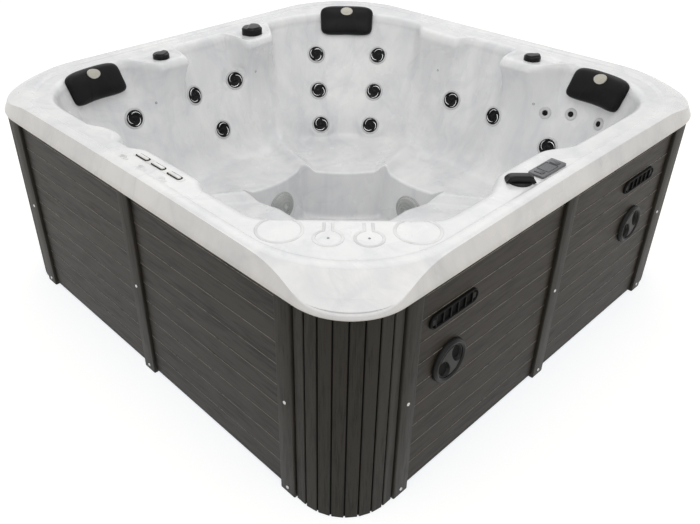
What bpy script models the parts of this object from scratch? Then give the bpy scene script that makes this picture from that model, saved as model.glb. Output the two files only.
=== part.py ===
# A square family hot tub: acrylic shell, slatted cabinet, pillows, jets, controls and pump set
# Metres, +Z up, the tub stands on z = 0 round the origin; +X is the equipment side, -Y the front
import math

import bmesh
import bpy
from mathutils import Matrix, Vector

# Overall sizes
TUB_WIDTH = 2.10
TUB_HALF = TUB_WIDTH / 2
RIM_TOP = 0.85
FIT_GAP = 0.0003
SLIDE_GAP = 0.0008
TURN_GAP = 0.0005
CUT_OVERRUN = 0.03

# Lip and rim of the shell
SHELL_WALL = 0.012
LIP_HEIGHT = 0.065
LIP_CORNER_RADIUS = 0.31
LIP_NEAR_CORNER_RADIUS = 0.20
SHOULDER_RADIUS = 0.03
TOP_CORNER_RADIUS = 0.40
BAND_WIDTH = 0.035
BAND_CORNER_RADIUS = 0.38
BAND_STEP = 0.007
BULLNOSE_RADIUS = 0.04

# Pool: its wall line just below the bullnose
RIM_WIDTH = 0.16
POOL_HALF = TUB_HALF - RIM_WIDTH
POOL_CORNER_RADIUS = 0.28
FAR_CORNER_RADIUS = 0.50
DECK_CORNER_RADIUS = 0.10
DECK_SHARE = 1.1146
DECK_REACH = POOL_HALF * DECK_SHARE
WALL_LEAN_SHARE = 0.36
FAR_CORNER_OPENING_SHARE = 0.9
LEDGE_FADE_SHARE = 4.0

# Seats and footwell
FLOOR_LEVEL = 0.045
SEAT_SHARE = 0.335294
SEAT_LEVEL = RIM_TOP * SEAT_SHARE
NEAR_SEAT_RISE = 0.02
SEAT_RIDGE_HEIGHT = 0.014
SEAT_COVE_HEIGHT = 0.10
SEAT_COVE_DEPTH = 0.09
SEAT_LIP_RADIUS = 0.02
FOOTWELL_SHARES = (0.4607, 0.2697, 0.1348, 0.0382)
FOOTWELL_FAR, FOOTWELL_NEAR, FOOTWELL_CORNER, FOOTWELL_BULGE = (
    POOL_HALF * share for share in FOOTWELL_SHARES)
FOOTWELL_LEAN_SHARE = 0.12

# Ledges of the rim: direction, flat half angle, soft angle, depth as a share of the pool's half
LEDGE_SHARES = (
    (200.0, 4.0, 4.0, 0.150),
    (166.0, 5.0, 4.0, 0.172),
    (102.5, 6.5, 4.0, 0.080),
    (70.0, 4.5, 4.0, 0.146),
    (357.0, 7.0, 9.0, 0.062),
    (251.6, 1.0, 5.0, 0.040),
    (274.5, 9.0, 4.0, 0.034),
)
# Hollows of the seat backs: direction, half angle, depth as a share of the pool's half
SCOOP_SHARES = (
    (216.0, 11.0, 0.025),
    (184.0, 9.0, 0.022),
    (86.0, 9.0, 0.022),
    (54.0, 11.0, 0.025),
    (262.0, 14.0, 0.022),
    (8.0, 14.0, 0.022),
)
# Ridges between the seats: direction at the wall and at the footwell
SEAT_RIDGES = ((155.0, 163.5), (115.0, 106.5), (225.0, 210.5), (45.0, 59.5))
RIDGE_HALF_ANGLE = 6.0
WALL_HEIGHT_SHARES = (0.78, 0.48)
SHELL_COLUMNS = 72
CORNER_CROWDING_SHARE = 0.4
ARC_STEPS = 10

# Deck rings for cups
CUP_INSET = 0.123
CUP_REACH = DECK_REACH + CUP_INSET
CUP_OFFSET = 0.056
CUP_RADIUS = 0.04
GLASS_INSET = 0.083
GLASS_REACH = DECK_REACH + GLASS_INSET
GLASS_OFFSET = 0.192
GLASS_RADIUS = 0.065
RING_DEPTH = 0.003
NECK_HALF = 0.012
RING_SIDES = 16

# Cabinet
STRIP_INSET = 0.02
STRIP_FACE = TUB_HALF - STRIP_INSET
STRIP_WIDTH = 0.065
STRIP_BEVEL = 0.003
PANEL_INSET = 0.032
PANEL_FACE = TUB_HALF - PANEL_INSET
PANEL_THICKNESS = 0.012
SLAT_INSET = 0.028
SLAT_FACE = TUB_HALF - SLAT_INSET
SLAT_RADIUS = 0.205
NEAR_SLAT_RADIUS = 0.18
CORNER_WIDTH = 0.237
CORNER_SEAM = TUB_HALF - CORNER_WIDTH
STRIP_END = CORNER_SEAM - STRIP_WIDTH
LIP_CLEARANCE = 0.007
CABINET_TOP = RIM_TOP - LIP_HEIGHT - LIP_CLEARANCE
PANEL_BOTTOM = 0.012
BOARD_PITCH = 0.0785
FIRST_BOARD = 0.015
GROOVE_WIDTH = 0.005
GROOVE_DEPTH = 0.002
SLATS = 8
SLAT_GROOVE = 0.006
CORNER_STEPS = 8

# Frame and base
TUBE_SIZE = 0.04
FRAME_CUT_INSET = 0.32
POST_INSET = 0.39
FRAME_CUT = TUB_HALF - FRAME_CUT_INSET
POST_PLACE = TUB_HALF - POST_INSET
LEVEL_EDGE = 0.006

# Vents and locks on the equipment side
VENT_LENGTH = 0.22
VENT_HEIGHT = 0.05
VENT_THICKNESS = 0.009
VENT_DROP = 0.148
VENT_LEVEL = CABINET_TOP - VENT_DROP
VENT_NEAR_INSET = 0.154
VENT_FAR_INSET = 0.231
VENT_PLACES = (VENT_NEAR_INSET - STRIP_END, STRIP_END - VENT_FAR_INSET)
VENT_SLOTS = 6
VENT_SLOT_WIDTH = 0.016
VENT_SLOT_HEIGHT = 0.032
VENT_ARC_STEPS = 6
LOCK_DROP = 0.343
LOCK_LEVEL = CABINET_TOP - LOCK_DROP
LOCK_NEAR_INSET = 0.157
LOCK_FAR_INSET = 0.218
LOCK_PLACES = (LOCK_NEAR_INSET - STRIP_END, STRIP_END - LOCK_FAR_INSET)
LOCK_RING_RADIUS = 0.075
LOCK_RING_WIDTH = 0.017
LOCK_RING_HEIGHT = 0.016
LOCK_DISC_HEIGHT = 0.004
LOCK_GRIP_WIDTH = 0.018
LOCK_GRIP_HEIGHT = 0.013
LOCK_GRIP_LEAN = 30.0
LOCK_SHAFT_RADIUS = 0.011
LOCK_CAM_LENGTH = 0.058
LOCK_CAM_WIDTH = 0.02
LOCK_CAM_THICKNESS = 0.004
LOCK_SIDES = 20

# Jets: radius of flange, face, eye and barrel, and how far the flange is sunk and stands proud
JET_FLANGE_RADIUS = 0.047
JET_FACE_RADIUS = 0.037
JET_EYE_RADIUS = 0.016
JET_BARREL_RADIUS = 0.031
JET_PROUD = 0.005
JET_SUNK = 0.0045
JET_DISH = 0.004
JET_SWIRL = 0.003
JET_BARREL_LENGTH = 0.05
NECK_JET_FLANGE_RADIUS = 0.027
NECK_JET_FACE_RADIUS = 0.015
NECK_JET_EYE_RADIUS = 0.007
NECK_JET_BARREL_RADIUS = 0.017
JET_SIDES = 14
# Direction in degrees and height as a share of the rim's height
LARGE_JET_SHARES = {
    "jet_left_seat_upper": (210.6, 0.708),
    "jet_left_seat_side": (191.0, 0.731),
    "jet_side_seat_upper": (174.4, 0.746),
    "jet_side_seat_lower": (184.0, 0.509),
    "jet_corner_seat_left_upper": (143.3, 0.782),
    "jet_corner_seat_left_middle": (143.3, 0.594),
    "jet_corner_seat_left_lower": (143.3, 0.418),
    "jet_corner_seat_right_upper": (124.0, 0.782),
    "jet_corner_seat_right_middle": (124.0, 0.594),
    "jet_corner_seat_right_lower": (124.0, 0.418),
    "jet_back_seat_left": (93.7, 0.652),
    "jet_back_seat_right": (76.0, 0.645),
    "jet_right_seat_lower": (57.9, 0.579),
}
NECK_JET_SHARES = {
    "jet_neck_left": (62.2, 0.738),
    "jet_neck_middle": (57.1, 0.764),
    "jet_neck_right": (50.7, 0.764),
}

# Suction covers in the footwell
COVER_RADIUS = 0.07
COVER_DOME = 0.028
COVER_FLANGE = 0.006
COVER_SUNK = 0.004
COVER_BARREL_RADIUS = 0.03
COVER_BARREL_LENGTH = 0.06
COVER_LEVEL = (FLOOR_LEVEL + SEAT_LEVEL) / 2
COVER_SIDES = 18
COVER_TURNS = {"suction_cover_left": 186.0, "suction_cover_right": 78.0}

# Controls on the rim: place, radius and height
SMALL_KNOB_RADIUS = 0.037
SMALL_KNOB_HEIGHT = 0.018
LARGE_KNOB_RADIUS = 0.05
LARGE_KNOB_HEIGHT = 0.03
HANDLE_RADIUS = 0.038
HANDLE_HEIGHT = 0.01
HANDLE_GRIP_REACH = 0.046
HANDLE_GRIP_HEIGHT = 0.016
HANDLE_GRIP_WIDTH = 0.036
HANDLE_GRIP_TURN = 45.0
HANDLE_GRIP_SLOPE_SHARE = 0.72
KNOB_SUNK = 0.003
STEM_RADIUS = 0.011
STEM_LENGTH = 0.05
KNOB_SIDES = 16
KNOB_LOBES = 4
KNOB_LOBE_SHARE = 0.06
KNOB_SHARES = ((-0.9393, -0.3483), (0.3573, 0.9551), (-0.9348, 0.2303))
AIR_KNOB_LEFT, AIR_KNOB_RIGHT, DIVERTER_KNOB = (
    (POOL_HALF * x, POOL_HALF * y) for x, y in KNOB_SHARES)
HANDLE_INSET = 0.037
HANDLE_ALONG = -0.175
DIVERTER_HANDLE = (POOL_HALF + HANDLE_INSET, HANDLE_ALONG)

# Control panel on the rim, with two keys that travel
CONTROL_INSET = 0.051
CONTROL_ALONG = -0.044
CONTROL_CENTRE = (POOL_HALF + CONTROL_INSET, CONTROL_ALONG)
CONTROL_WIDTH = 0.056
CONTROL_LENGTH = 0.14
CONTROL_HEIGHT = 0.012
CONTROL_SUNK = 0.004
CONTROL_BEVEL = 0.002
KEY_WIDTH = 0.032
KEY_LENGTH = 0.022
KEY_HEIGHT = 0.006
KEY_PROUD = 0.002
KEY_TRAVEL = 0.001
KEY_OFFSET = 0.045

# Three-slot water outlet on the front rim
OUTLET_INSET = 0.031
OUTLET_CENTRE_X = 0.07
OUTLET_CENTRE_Y = -POOL_HALF - OUTLET_INSET
OUTLET_LENGTH = 0.27
OUTLET_DEPTH = 0.026
OUTLET_HEIGHT = 0.011
OUTLET_SUNK = 0.004
OUTLET_SLOTS = 3
OUTLET_SLOT_LENGTH = 0.06
OUTLET_SLOT_HEIGHT = 0.004

# Head pillows
PILLOW_WIDTH = 0.29
PILLOW_HEIGHT = 0.14
PILLOW_THICKNESS = 0.08
PILLOW_STAND = 0.01
PILLOW_SIDE_DRAW_SHARE = 0.05
PILLOW_OUTLINE_SHARE = 0.5
PILLOW_CROWN_SHARE = 0.8
PILLOW_COLUMNS = 24
PILLOW_ROWS = 9
# Direction in degrees and height of the middle as a share of the rim's height
PILLOW_SHARES = {
    "pillow_left": (215.5, 0.9235),
    "pillow_corner": (134.0, 0.9529),
    "pillow_right": (53.9, 0.9176),
}

# Pump set on the base
MOTOR_RADIUS = 0.065
MOTOR_LENGTH = 0.24
MOTOR_INSET = 0.35
MOTOR_ALONG_SHARE = -0.3429
MOTOR_PLACE = (TUB_HALF - MOTOR_INSET, TUB_HALF * MOTOR_ALONG_SHARE)
FOOT_HEIGHT = 0.025
FOOT_WIDTH = 0.11
PUMP_AXIS_LEVEL = 0.125
VOLUTE_RADIUS = 0.085
VOLUTE_LENGTH = 0.09
PORT_RADIUS = 0.03
PORT_LENGTH = 0.05
SUCTION_RADIUS = 0.025
PRESSURE_RADIUS = 0.02
HEATER_RADIUS = 0.035
HEATER_LENGTH = 0.30
HEATER_INSET = 0.17
HEATER_ALONG_SHARE = 0.0762
HEATER_PLACE = (TUB_HALF - HEATER_INSET, TUB_HALF * HEATER_ALONG_SHARE)
BOX_WIDTH = 0.095
BOX_LENGTH = 0.32
BOX_HEIGHT = 0.36
BOX_INSET = 0.136
BOX_ALONG_SHARE = 0.4381
BOX_PLACE = (TUB_HALF - BOX_INSET, TUB_HALF * BOX_ALONG_SHARE)
BOX_BEVEL = 0.006
PIPE_BEND = 0.06
PIPE_SIDES = 10
PIPE_LEVEL = 0.15
PIPE_RUN_SHARE = 0.5955
PIPE_RUN = POOL_HALF * PIPE_RUN_SHARE
MACHINE_SIDES = 18

# Heights and planes that follow from the sizes above
RIM_INNER = RIM_TOP - BAND_STEP
LIP_BOTTOM = RIM_TOP - LIP_HEIGHT
WALL_TOP = RIM_INNER - BULLNOSE_RADIUS
PANEL_BACK = PANEL_FACE - PANEL_THICKNESS
BASE_HEIGHT = FLOOR_LEVEL - SHELL_WALL - FIT_GAP
FRAME_HALF = PANEL_BACK - FIT_GAP
FRAME_TOP = RIM_INNER - SHELL_WALL - SLIDE_GAP

FINISHES = {
    "acrylic": ((0.80, 0.81, 0.83), 0.12, 0.0),
    "cabinet_board": ((0.075, 0.070, 0.066), 0.55, 0.0),
    "cabinet_strip": ((0.062, 0.060, 0.056), 0.50, 0.0),
    "black_plastic": ((0.015, 0.015, 0.016), 0.35, 0.0),
    "pillow_foam": ((0.010, 0.010, 0.011), 0.45, 0.0),
    "jet_plastic": ((0.018, 0.018, 0.020), 0.25, 0.0),
    "grey_plastic": ((0.35, 0.36, 0.37), 0.40, 0.0),
    "clear_grey_plastic": ((0.42, 0.44, 0.45), 0.20, 0.0),
    "white_plastic": ((0.75, 0.75, 0.74), 0.35, 0.0),
    "steel": ((0.55, 0.55, 0.56), 0.30, 1.0),
    "base_plastic": ((0.03, 0.03, 0.03), 0.60, 0.0),
    "frame_timber": ((0.42, 0.30, 0.18), 0.70, 0.0),
    "motor_paint": ((0.05, 0.06, 0.08), 0.45, 0.0),
}


# Outlines seen from above

def rounded_outline(corners, radii, steps=ARC_STEPS):
    # walks a convex outline and turns each corner into an arc
    points = []
    for index, corner in enumerate(corners):
        here = Vector(corner)
        back = (Vector(corners[index - 1]) - here).normalized()
        ahead = (Vector(corners[(index + 1) % len(corners)]) - here).normalized()
        half_angle = math.acos(max(-1.0, min(1.0, back.dot(ahead)))) / 2
        radius = radii[index]
        centre = here + (back + ahead).normalized() * (radius / math.sin(half_angle))
        first = here + back * (radius / math.tan(half_angle)) - centre
        start = math.atan2(first.y, first.x)
        sweep = math.pi - 2 * half_angle
        for step in range(steps + 1):
            turn = start + sweep * step / steps
            points.append((centre.x + radius * math.cos(turn), centre.y + radius * math.sin(turn)))
    return points


def square_outline(half, radius, steps=ARC_STEPS, near_radius=None):
    corners = ((half, -half), (half, half), (-half, half), (-half, -half))
    return rounded_outline(corners, (near_radius or radius, radius, radius, radius), steps)


def pool_outline(grow):
    # the pool's wall line, its near corner cut straight by the deck
    half = POOL_HALF + grow
    deck = (DECK_REACH + grow) * math.sqrt(2) - half
    corners = ((deck, -half), (half, -deck), (half, half), (-half, half), (-half, -half))
    far_radius = FAR_CORNER_RADIUS + (grow if grow > 0 else -FAR_CORNER_OPENING_SHARE * grow)
    deck_radius = DECK_CORNER_RADIUS + grow / 2
    corner_radius = POOL_CORNER_RADIUS + grow
    radii = (deck_radius, deck_radius, corner_radius, far_radius, corner_radius)
    return rounded_outline(corners, radii)


def footwell_outline(grow):
    # the front edge of every seat bulges into the footwell, and the corners between are crisp
    far = FOOTWELL_FAR + grow
    near = FOOTWELL_NEAR + grow
    chamfer = FOOTWELL_CORNER
    corners = ((near, -near), (near, far), (-chamfer, far), (-far, chamfer), (-far, -near))
    points = []
    for index, corner in enumerate(corners):
        start = Vector(corner)
        side = Vector(corners[(index + 1) % len(corners)]) - start
        inward = Vector((-side.y, side.x)).normalized()
        for step in range(ARC_STEPS):
            share = (step + 0.5) / ARC_STEPS
            spot = start + side * share + inward * (FOOTWELL_BULGE * 4 * share * (1 - share))
            points.append((spot.x, spot.y))
    return points


def outline_reach(outline, turn):
    # distance from the middle of the tub to the outline along one direction
    across = Vector((math.cos(turn), math.sin(turn)))
    found = 0.0
    for start, end in zip(outline, outline[1:] + outline[:1]):
        side = Vector(end) - Vector(start)
        slant = across.x * side.y - across.y * side.x
        if abs(slant) < 1e-12:
            continue
        reach = (start[0] * side.y - start[1] * side.x) / slant
        along = (start[0] * across.y - start[1] * across.x) / slant
        if reach > found and -1e-6 <= along <= 1 + 1e-6:
            found = reach
    return found


OUTLINE_STORE = {}


def stored_reach(maker, grow, turn):
    key = (maker.__name__, round(grow / TUB_WIDTH, 7))
    if key not in OUTLINE_STORE:
        OUTLINE_STORE[key] = maker(grow)
    return outline_reach(OUTLINE_STORE[key], turn)


# Form of the shell

def soft_window(turn, centre, flat, soft):
    # 1 within the flat half angle, falling smoothly to 0 over the soft angle; all in degrees
    away = abs((math.degrees(turn) - centre + 180) % 360 - 180)
    share = min(1.0, max(0.0, (flat + soft - away) / soft))
    return share * share * (3 - 2 * share)


def ledge_depth(turn):
    depth = 0.0
    for centre, flat, soft, share in LEDGE_SHARES:
        depth += POOL_HALF * share * soft_window(turn, centre, flat, soft)
    return depth


def wall_reach(turn, level):
    # the seat backs: leaned, with hollows for the backs and ribs that carry the ledges
    rise = min(1.0, max(0.0, (level - SEAT_LEVEL) / (WALL_TOP - SEAT_LEVEL)))
    reach = stored_reach(pool_outline, -(WALL_TOP - level) * WALL_LEAN_SHARE, turn)
    reach -= ledge_depth(turn) * rise ** LEDGE_FADE_SHARE
    for centre, soft, share in SCOOP_SHARES:
        reach += POOL_HALF * share * soft_window(turn, centre, 0.0, soft) * math.sin(math.pi * rise)
    return reach


def footwell_reach(turn, level):
    return stored_reach(footwell_outline, -(SEAT_LEVEL - level) * FOOTWELL_LEAN_SHARE, turn)


def seat_level(turn, across):
    # across runs from 0 at the footwell to 1 at the wall
    near = soft_window(turn, 315.0, 80.0, 20.0)
    level = SEAT_LEVEL + NEAR_SEAT_RISE * near
    for at_wall, at_footwell in SEAT_RIDGES:
        middle = at_footwell + (at_wall - at_footwell) * across
        level += SEAT_RIDGE_HEIGHT * soft_window(turn, middle, 0.0, RIDGE_HALF_ANGLE)
    return level


LIP_LINE = square_outline(TUB_HALF, LIP_CORNER_RADIUS, near_radius=LIP_NEAR_CORNER_RADIUS)
TOP_LINE = square_outline(TUB_HALF - SHOULDER_RADIUS, TOP_CORNER_RADIUS)
BAND_LINE = square_outline(TUB_HALF - SHOULDER_RADIUS - BAND_WIDTH, BAND_CORNER_RADIUS)


def shell_column(turn):
    # one line across the shell, from the lower edge of the lip to the footwell floor
    lip = outline_reach(LIP_LINE, turn)
    top = outline_reach(TOP_LINE, turn)
    band = outline_reach(BAND_LINE, turn)
    ledge = ledge_depth(turn)
    quarter = math.sqrt(0.5)
    shoulder = (1 - quarter)
    column = [(lip, LIP_BOTTOM), (lip, RIM_TOP - SHOULDER_RADIUS)]
    column.append((lip - (lip - top) * shoulder, RIM_TOP - SHOULDER_RADIUS * shoulder))
    column += [(top, RIM_TOP), (band, RIM_TOP), (band - BAND_STEP, RIM_INNER)]
    for share in (0.0, shoulder, 1.0):
        grow = BULLNOSE_RADIUS * (1 - (0.0, quarter, 1.0)[(0.0, shoulder, 1.0).index(share)])
        reach = stored_reach(pool_outline, grow, turn) - ledge
        column.append((reach, RIM_INNER - BULLNOSE_RADIUS * share))
    wall_foot = SEAT_LEVEL + SEAT_COVE_HEIGHT
    for share in WALL_HEIGHT_SHARES:
        level = wall_foot + (WALL_TOP - wall_foot) * share
        column.append((wall_reach(turn, level), level))
    foot = wall_reach(turn, wall_foot)
    column.append((foot, wall_foot))
    cove_in = foot - SEAT_COVE_DEPTH * shoulder
    column.append((cove_in, seat_level(turn, 1.0) + SEAT_COVE_HEIGHT * shoulder))
    column.append((foot - SEAT_COVE_DEPTH, seat_level(turn, 1.0)))
    edge = footwell_reach(turn, SEAT_LEVEL)
    pan = seat_level(turn, 0.0)
    column.append((edge + SEAT_LIP_RADIUS, pan))
    column.append((edge, pan - SEAT_LIP_RADIUS))
    low = footwell_reach(turn, FLOOR_LEVEL)
    column.append((low, FLOOR_LEVEL + SEAT_LIP_RADIUS))
    column.append((low - SEAT_LIP_RADIUS, FLOOR_LEVEL))
    return column


def column_turn(index):
    # directions crowd together at the four corners
    even = 2 * math.pi * index / SHELL_COLUMNS
    return even + CORNER_CROWDING_SHARE * math.sin(4 * even) / 4


def surface_normal(reach_at, turn, level):
    # the way that a wall faces, towards the water
    side = 0.03
    rise = POOL_HALF / 50
    places = []
    for step_turn, step_level in ((-side, 0.0), (side, 0.0), (0.0, -rise), (0.0, rise)):
        reach = reach_at(turn + step_turn, level + step_level)
        angle = turn + step_turn
        places.append(Vector((reach * math.cos(angle), reach * math.sin(angle), level + step_level)))
    normal = (places[1] - places[0]).cross(places[3] - places[2]).normalized()
    if normal.x * math.cos(turn) + normal.y * math.sin(turn) > 0:
        normal = -normal
    return normal


def wall_seat(reach_at, degrees, level):
    # a matrix whose Z axis leaves the wall at that place, and whose Y axis points upwards
    turn = math.radians(degrees)
    reach = reach_at(turn, level)
    normal = surface_normal(reach_at, turn, level)
    sideways = Vector((0.0, 0.0, 1.0)).cross(normal).normalized()
    upwards = normal.cross(sideways)
    axes = Matrix((sideways, upwards, normal)).transposed().to_4x4()
    place = Vector((reach * math.cos(turn), reach * math.sin(turn), level))
    return Matrix.Translation(place) @ axes


# Mesh tools

def add_rings(mesh, rings, closed=True):
    # joins each ring of points to the next; a ring of one point is a pole
    for upper, lower in zip(rings, rings[1:]):
        count = max(len(upper), len(lower))
        for index in range(count if closed else count - 1):
            after = index + 1
            loop = []
            for ring, step in ((upper, index), (lower, index), (lower, after), (upper, after)):
                vert = ring[step % len(ring)]
                if vert not in loop:
                    loop.append(vert)
            mesh.faces.new(loop)


def add_turned(mesh, profile, sides, place=None, wave=None):
    # profile runs from the top to the bottom as radius and height; wave changes a ring's radius
    place = place or Matrix.Identity(4)
    rings = []
    for number, (radius, height) in enumerate(profile):
        if radius == 0:
            rings.append([mesh.verts.new(place @ Vector((0.0, 0.0, height)))])
            continue
        ring = []
        for index in range(sides):
            turn = 2 * math.pi * index / sides
            out, lift = wave(number, turn) if wave else (1.0, 0.0)
            spot = Vector((radius * out * math.cos(turn), radius * out * math.sin(turn), height + lift))
            ring.append(mesh.verts.new(place @ spot))
        rings.append(ring)
    add_rings(mesh, rings)


def add_cylinder(mesh, radius, low, high, sides, place=None):
    add_turned(mesh, ((0.0, high), (radius, high), (radius, low), (0.0, low)), sides, place)


def add_prism(mesh, outline, low, high, place=None):
    # an outline pulled straight up
    place = place or Matrix.Identity(4)
    bottom = [mesh.verts.new(place @ Vector((x, y, low))) for x, y in outline]
    top = [mesh.verts.new(place @ Vector((x, y, high))) for x, y in outline]
    mesh.faces.new(bottom)
    mesh.faces.new(top)
    add_rings(mesh, (top, bottom))


def add_box(mesh, low, high, place=None):
    outline = ((low[0], low[1]), (high[0], low[1]), (high[0], high[1]), (low[0], high[1]))
    add_prism(mesh, outline, low[2], high[2], place)


def rounded_route(points, bend, steps=3):
    # a route whose inner corners are eased over the bend length
    route = [Vector(points[0])]
    for before, corner, after in zip(points, points[1:], points[2:]):
        here = Vector(corner)
        start = here + (Vector(before) - here).normalized() * bend
        end = here + (Vector(after) - here).normalized() * bend
        for step in range(steps + 1):
            share = step / steps
            route.append(start.lerp(here, share).lerp(here.lerp(end, share), share))
    route.append(Vector(points[-1]))
    return route


def add_tube(mesh, route, radius, sides):
    # carries a ring along the route and turns it as little as possible
    heading = (route[1] - route[0]).normalized()
    side = heading.orthogonal().normalized()
    rings = [[mesh.verts.new(route[0])]]
    for index, spot in enumerate(route):
        before = route[max(index - 1, 0)]
        after = route[min(index + 1, len(route) - 1)]
        turned = (after - before).normalized()
        side = (heading.rotation_difference(turned) @ side).normalized()
        heading = turned
        other = heading.cross(side)
        ring = []
        for step in range(sides):
            turn = 2 * math.pi * step / sides
            ring.append(mesh.verts.new(spot + (side * math.cos(turn) + other * math.sin(turn)) * radius))
        rings.append(ring)
    rings.append([mesh.verts.new(route[-1])])
    add_rings(mesh, rings)


def finish_material(name):
    material = bpy.data.materials.get(name)
    if material is None:
        colour, roughness, metallic = FINISHES[name]
        material = bpy.data.materials.new(name)
        material.use_nodes = True
        shader = material.node_tree.nodes["Principled BSDF"]
        shader.inputs["Base Color"].default_value = (*colour, 1.0)
        shader.inputs["Roughness"].default_value = roughness
        shader.inputs["Metallic"].default_value = metallic
        material.diffuse_color = (*colour, 1.0)
    return material


def make_object(name, mesh, finish, place=None, smooth=True):
    # turns a bmesh into a named object; place is where its origin goes
    bmesh.ops.recalc_face_normals(mesh, faces=mesh.faces[:])
    data = bpy.data.meshes.new(name)
    mesh.to_mesh(data)
    mesh.free()
    if smooth:
        data.shade_smooth()
        data.set_sharp_from_angle(angle=math.radians(35))
    return place_mesh(name, data, finish, place)


def place_mesh(name, data, finish, place=None):
    thing = bpy.data.objects.new(name, data)
    if not data.materials:
        data.materials.append(finish_material(finish))
    bpy.context.scene.collection.objects.link(thing)
    thing.matrix_world = place or Matrix.Identity(4)
    return thing


def make_tool(name, mesh):
    # a body that only cuts or joins others
    tool = make_object(name, mesh, "base_plastic", smooth=False)
    tool.hide_render = True
    tool.display_type = "WIRE"
    return tool


def use_tool(thing, tool, operation):
    step = thing.modifiers.new(tool.name, "BOOLEAN")
    step.operation = operation
    step.solver = "EXACT"
    step.object = tool


def side_place(quarter):
    # turns what is built on the +X side to another side of the tub
    return Matrix.Rotation(quarter * math.pi / 2, 4, "Z")


# Shell

def shell_surface():
    mesh = bmesh.new()
    columns = []
    for index in range(SHELL_COLUMNS):
        turn = column_turn(index)
        column = []
        for reach, level in shell_column(turn):
            column.append(mesh.verts.new((reach * math.cos(turn), reach * math.sin(turn), level)))
        columns.append(column)
    rings = [[column[number] for column in columns] for number in range(len(columns[0]))]
    rings.append([mesh.verts.new((0.0, 0.0, FLOOR_LEVEL))])
    add_rings(mesh, rings)
    bmesh.ops.triangulate(mesh, faces=mesh.faces[:], quad_method="FIXED")
    return mesh


def ring_outline(reach, offset, radius, neck):
    # a cup ring on the deck, with or without a neck that runs to the edge of the pool
    along = Vector((math.sqrt(0.5), math.sqrt(0.5)))
    out = Vector((math.sqrt(0.5), -math.sqrt(0.5)))
    centre = out * reach + along * offset
    opening = math.asin(NECK_HALF / radius) if neck else 0.0
    points = []
    steps = RING_SIDES if neck else RING_SIDES - 1
    for step in range(steps + 1):
        turn = opening + (2 * math.pi - 2 * opening) * step / (RING_SIDES if neck else steps + 1)
        points.append(centre - out * radius * math.cos(turn) + along * radius * math.sin(turn))
    if neck:
        edge = reach - DECK_REACH
        points.append(centre - out * edge - along * NECK_HALF)
        points.append(centre - out * edge + along * NECK_HALF)
    return [(point.x, point.y) for point in points]


def clear_radius(radius, sides):
    # a faceted bore this wide lets a faceted piece of that radius turn in it
    return (radius + TURN_GAP) / math.cos(math.pi / sides)


def fitting_cut(mesh, place, flange, sunk, barrel, sides):
    # a flat seat for a flange and a hole for its barrel
    seat = clear_radius(flange, sides)
    bore = clear_radius(barrel, sides)
    profile = (
        (0.0, CUT_OVERRUN),
        (seat, CUT_OVERRUN),
        (seat, -sunk),
        (bore, -sunk),
        (bore, -SHELL_WALL - CUT_OVERRUN),
        (0.0, -SHELL_WALL - CUT_OVERRUN),
    )
    add_turned(mesh, profile, sides, place)


def rim_place(spot):
    return Matrix.Translation((spot[0], spot[1], RIM_INNER))


def build_shell():
    cuts = bmesh.new()
    for degrees, share in LARGE_JET_SHARES.values():
        place = wall_seat(wall_reach, degrees, RIM_TOP * share)
        fitting_cut(cuts, place, JET_FLANGE_RADIUS, JET_SUNK, JET_BARREL_RADIUS, JET_SIDES)
    for degrees, share in NECK_JET_SHARES.values():
        place = wall_seat(wall_reach, degrees, RIM_TOP * share)
        fitting_cut(cuts, place, NECK_JET_FLANGE_RADIUS, JET_SUNK, NECK_JET_BARREL_RADIUS, JET_SIDES)
    for degrees in COVER_TURNS.values():
        place = wall_seat(footwell_reach, degrees, COVER_LEVEL)
        fitting_cut(cuts, place, COVER_RADIUS, COVER_SUNK, COVER_BARREL_RADIUS, COVER_SIDES)
    for spot, radius in KNOBS:
        fitting_cut(cuts, rim_place(spot), radius, KNOB_SUNK, STEM_RADIUS, KNOB_SIDES)
    half_width = CONTROL_WIDTH / 2 + FIT_GAP
    half_length = CONTROL_LENGTH / 2 + FIT_GAP
    low = (-half_width, -half_length, -CONTROL_SUNK)
    add_box(cuts, low, (half_width, half_length, CUT_OVERRUN), rim_place(CONTROL_CENTRE))
    half_length = OUTLET_LENGTH / 2 + FIT_GAP
    half_width = OUTLET_DEPTH / 2 + FIT_GAP
    low = (-half_length, -half_width, -OUTLET_SUNK)
    place = rim_place((OUTLET_CENTRE_X, OUTLET_CENTRE_Y))
    add_box(cuts, low, (half_length, half_width, CUT_OVERRUN), place)
    for hand in (-1, 1):
        cup = ring_outline(CUP_REACH, hand * CUP_OFFSET, CUP_RADIUS, True)
        add_prism(cuts, cup, RIM_INNER - RING_DEPTH, RIM_TOP + CUT_OVERRUN)
        glass = ring_outline(GLASS_REACH, hand * GLASS_OFFSET, GLASS_RADIUS, False)
        add_prism(cuts, glass, RIM_INNER - RING_DEPTH, RIM_TOP + CUT_OVERRUN)
    cutter = make_tool("shell_cuts", cuts)

    shell = make_object("shell", shell_surface(), "acrylic")
    wall = shell.modifiers.new("wall", "SOLIDIFY")
    wall.thickness = SHELL_WALL
    wall.offset = -1.0
    wall.use_even_offset = True
    use_tool(shell, cutter, "DIFFERENCE")


KNOBS = (
    (AIR_KNOB_LEFT, SMALL_KNOB_RADIUS),
    (AIR_KNOB_RIGHT, SMALL_KNOB_RADIUS),
    (DIVERTER_KNOB, LARGE_KNOB_RADIUS),
    (DIVERTER_HANDLE, HANDLE_RADIUS),
)


# Fittings in the shell

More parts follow.
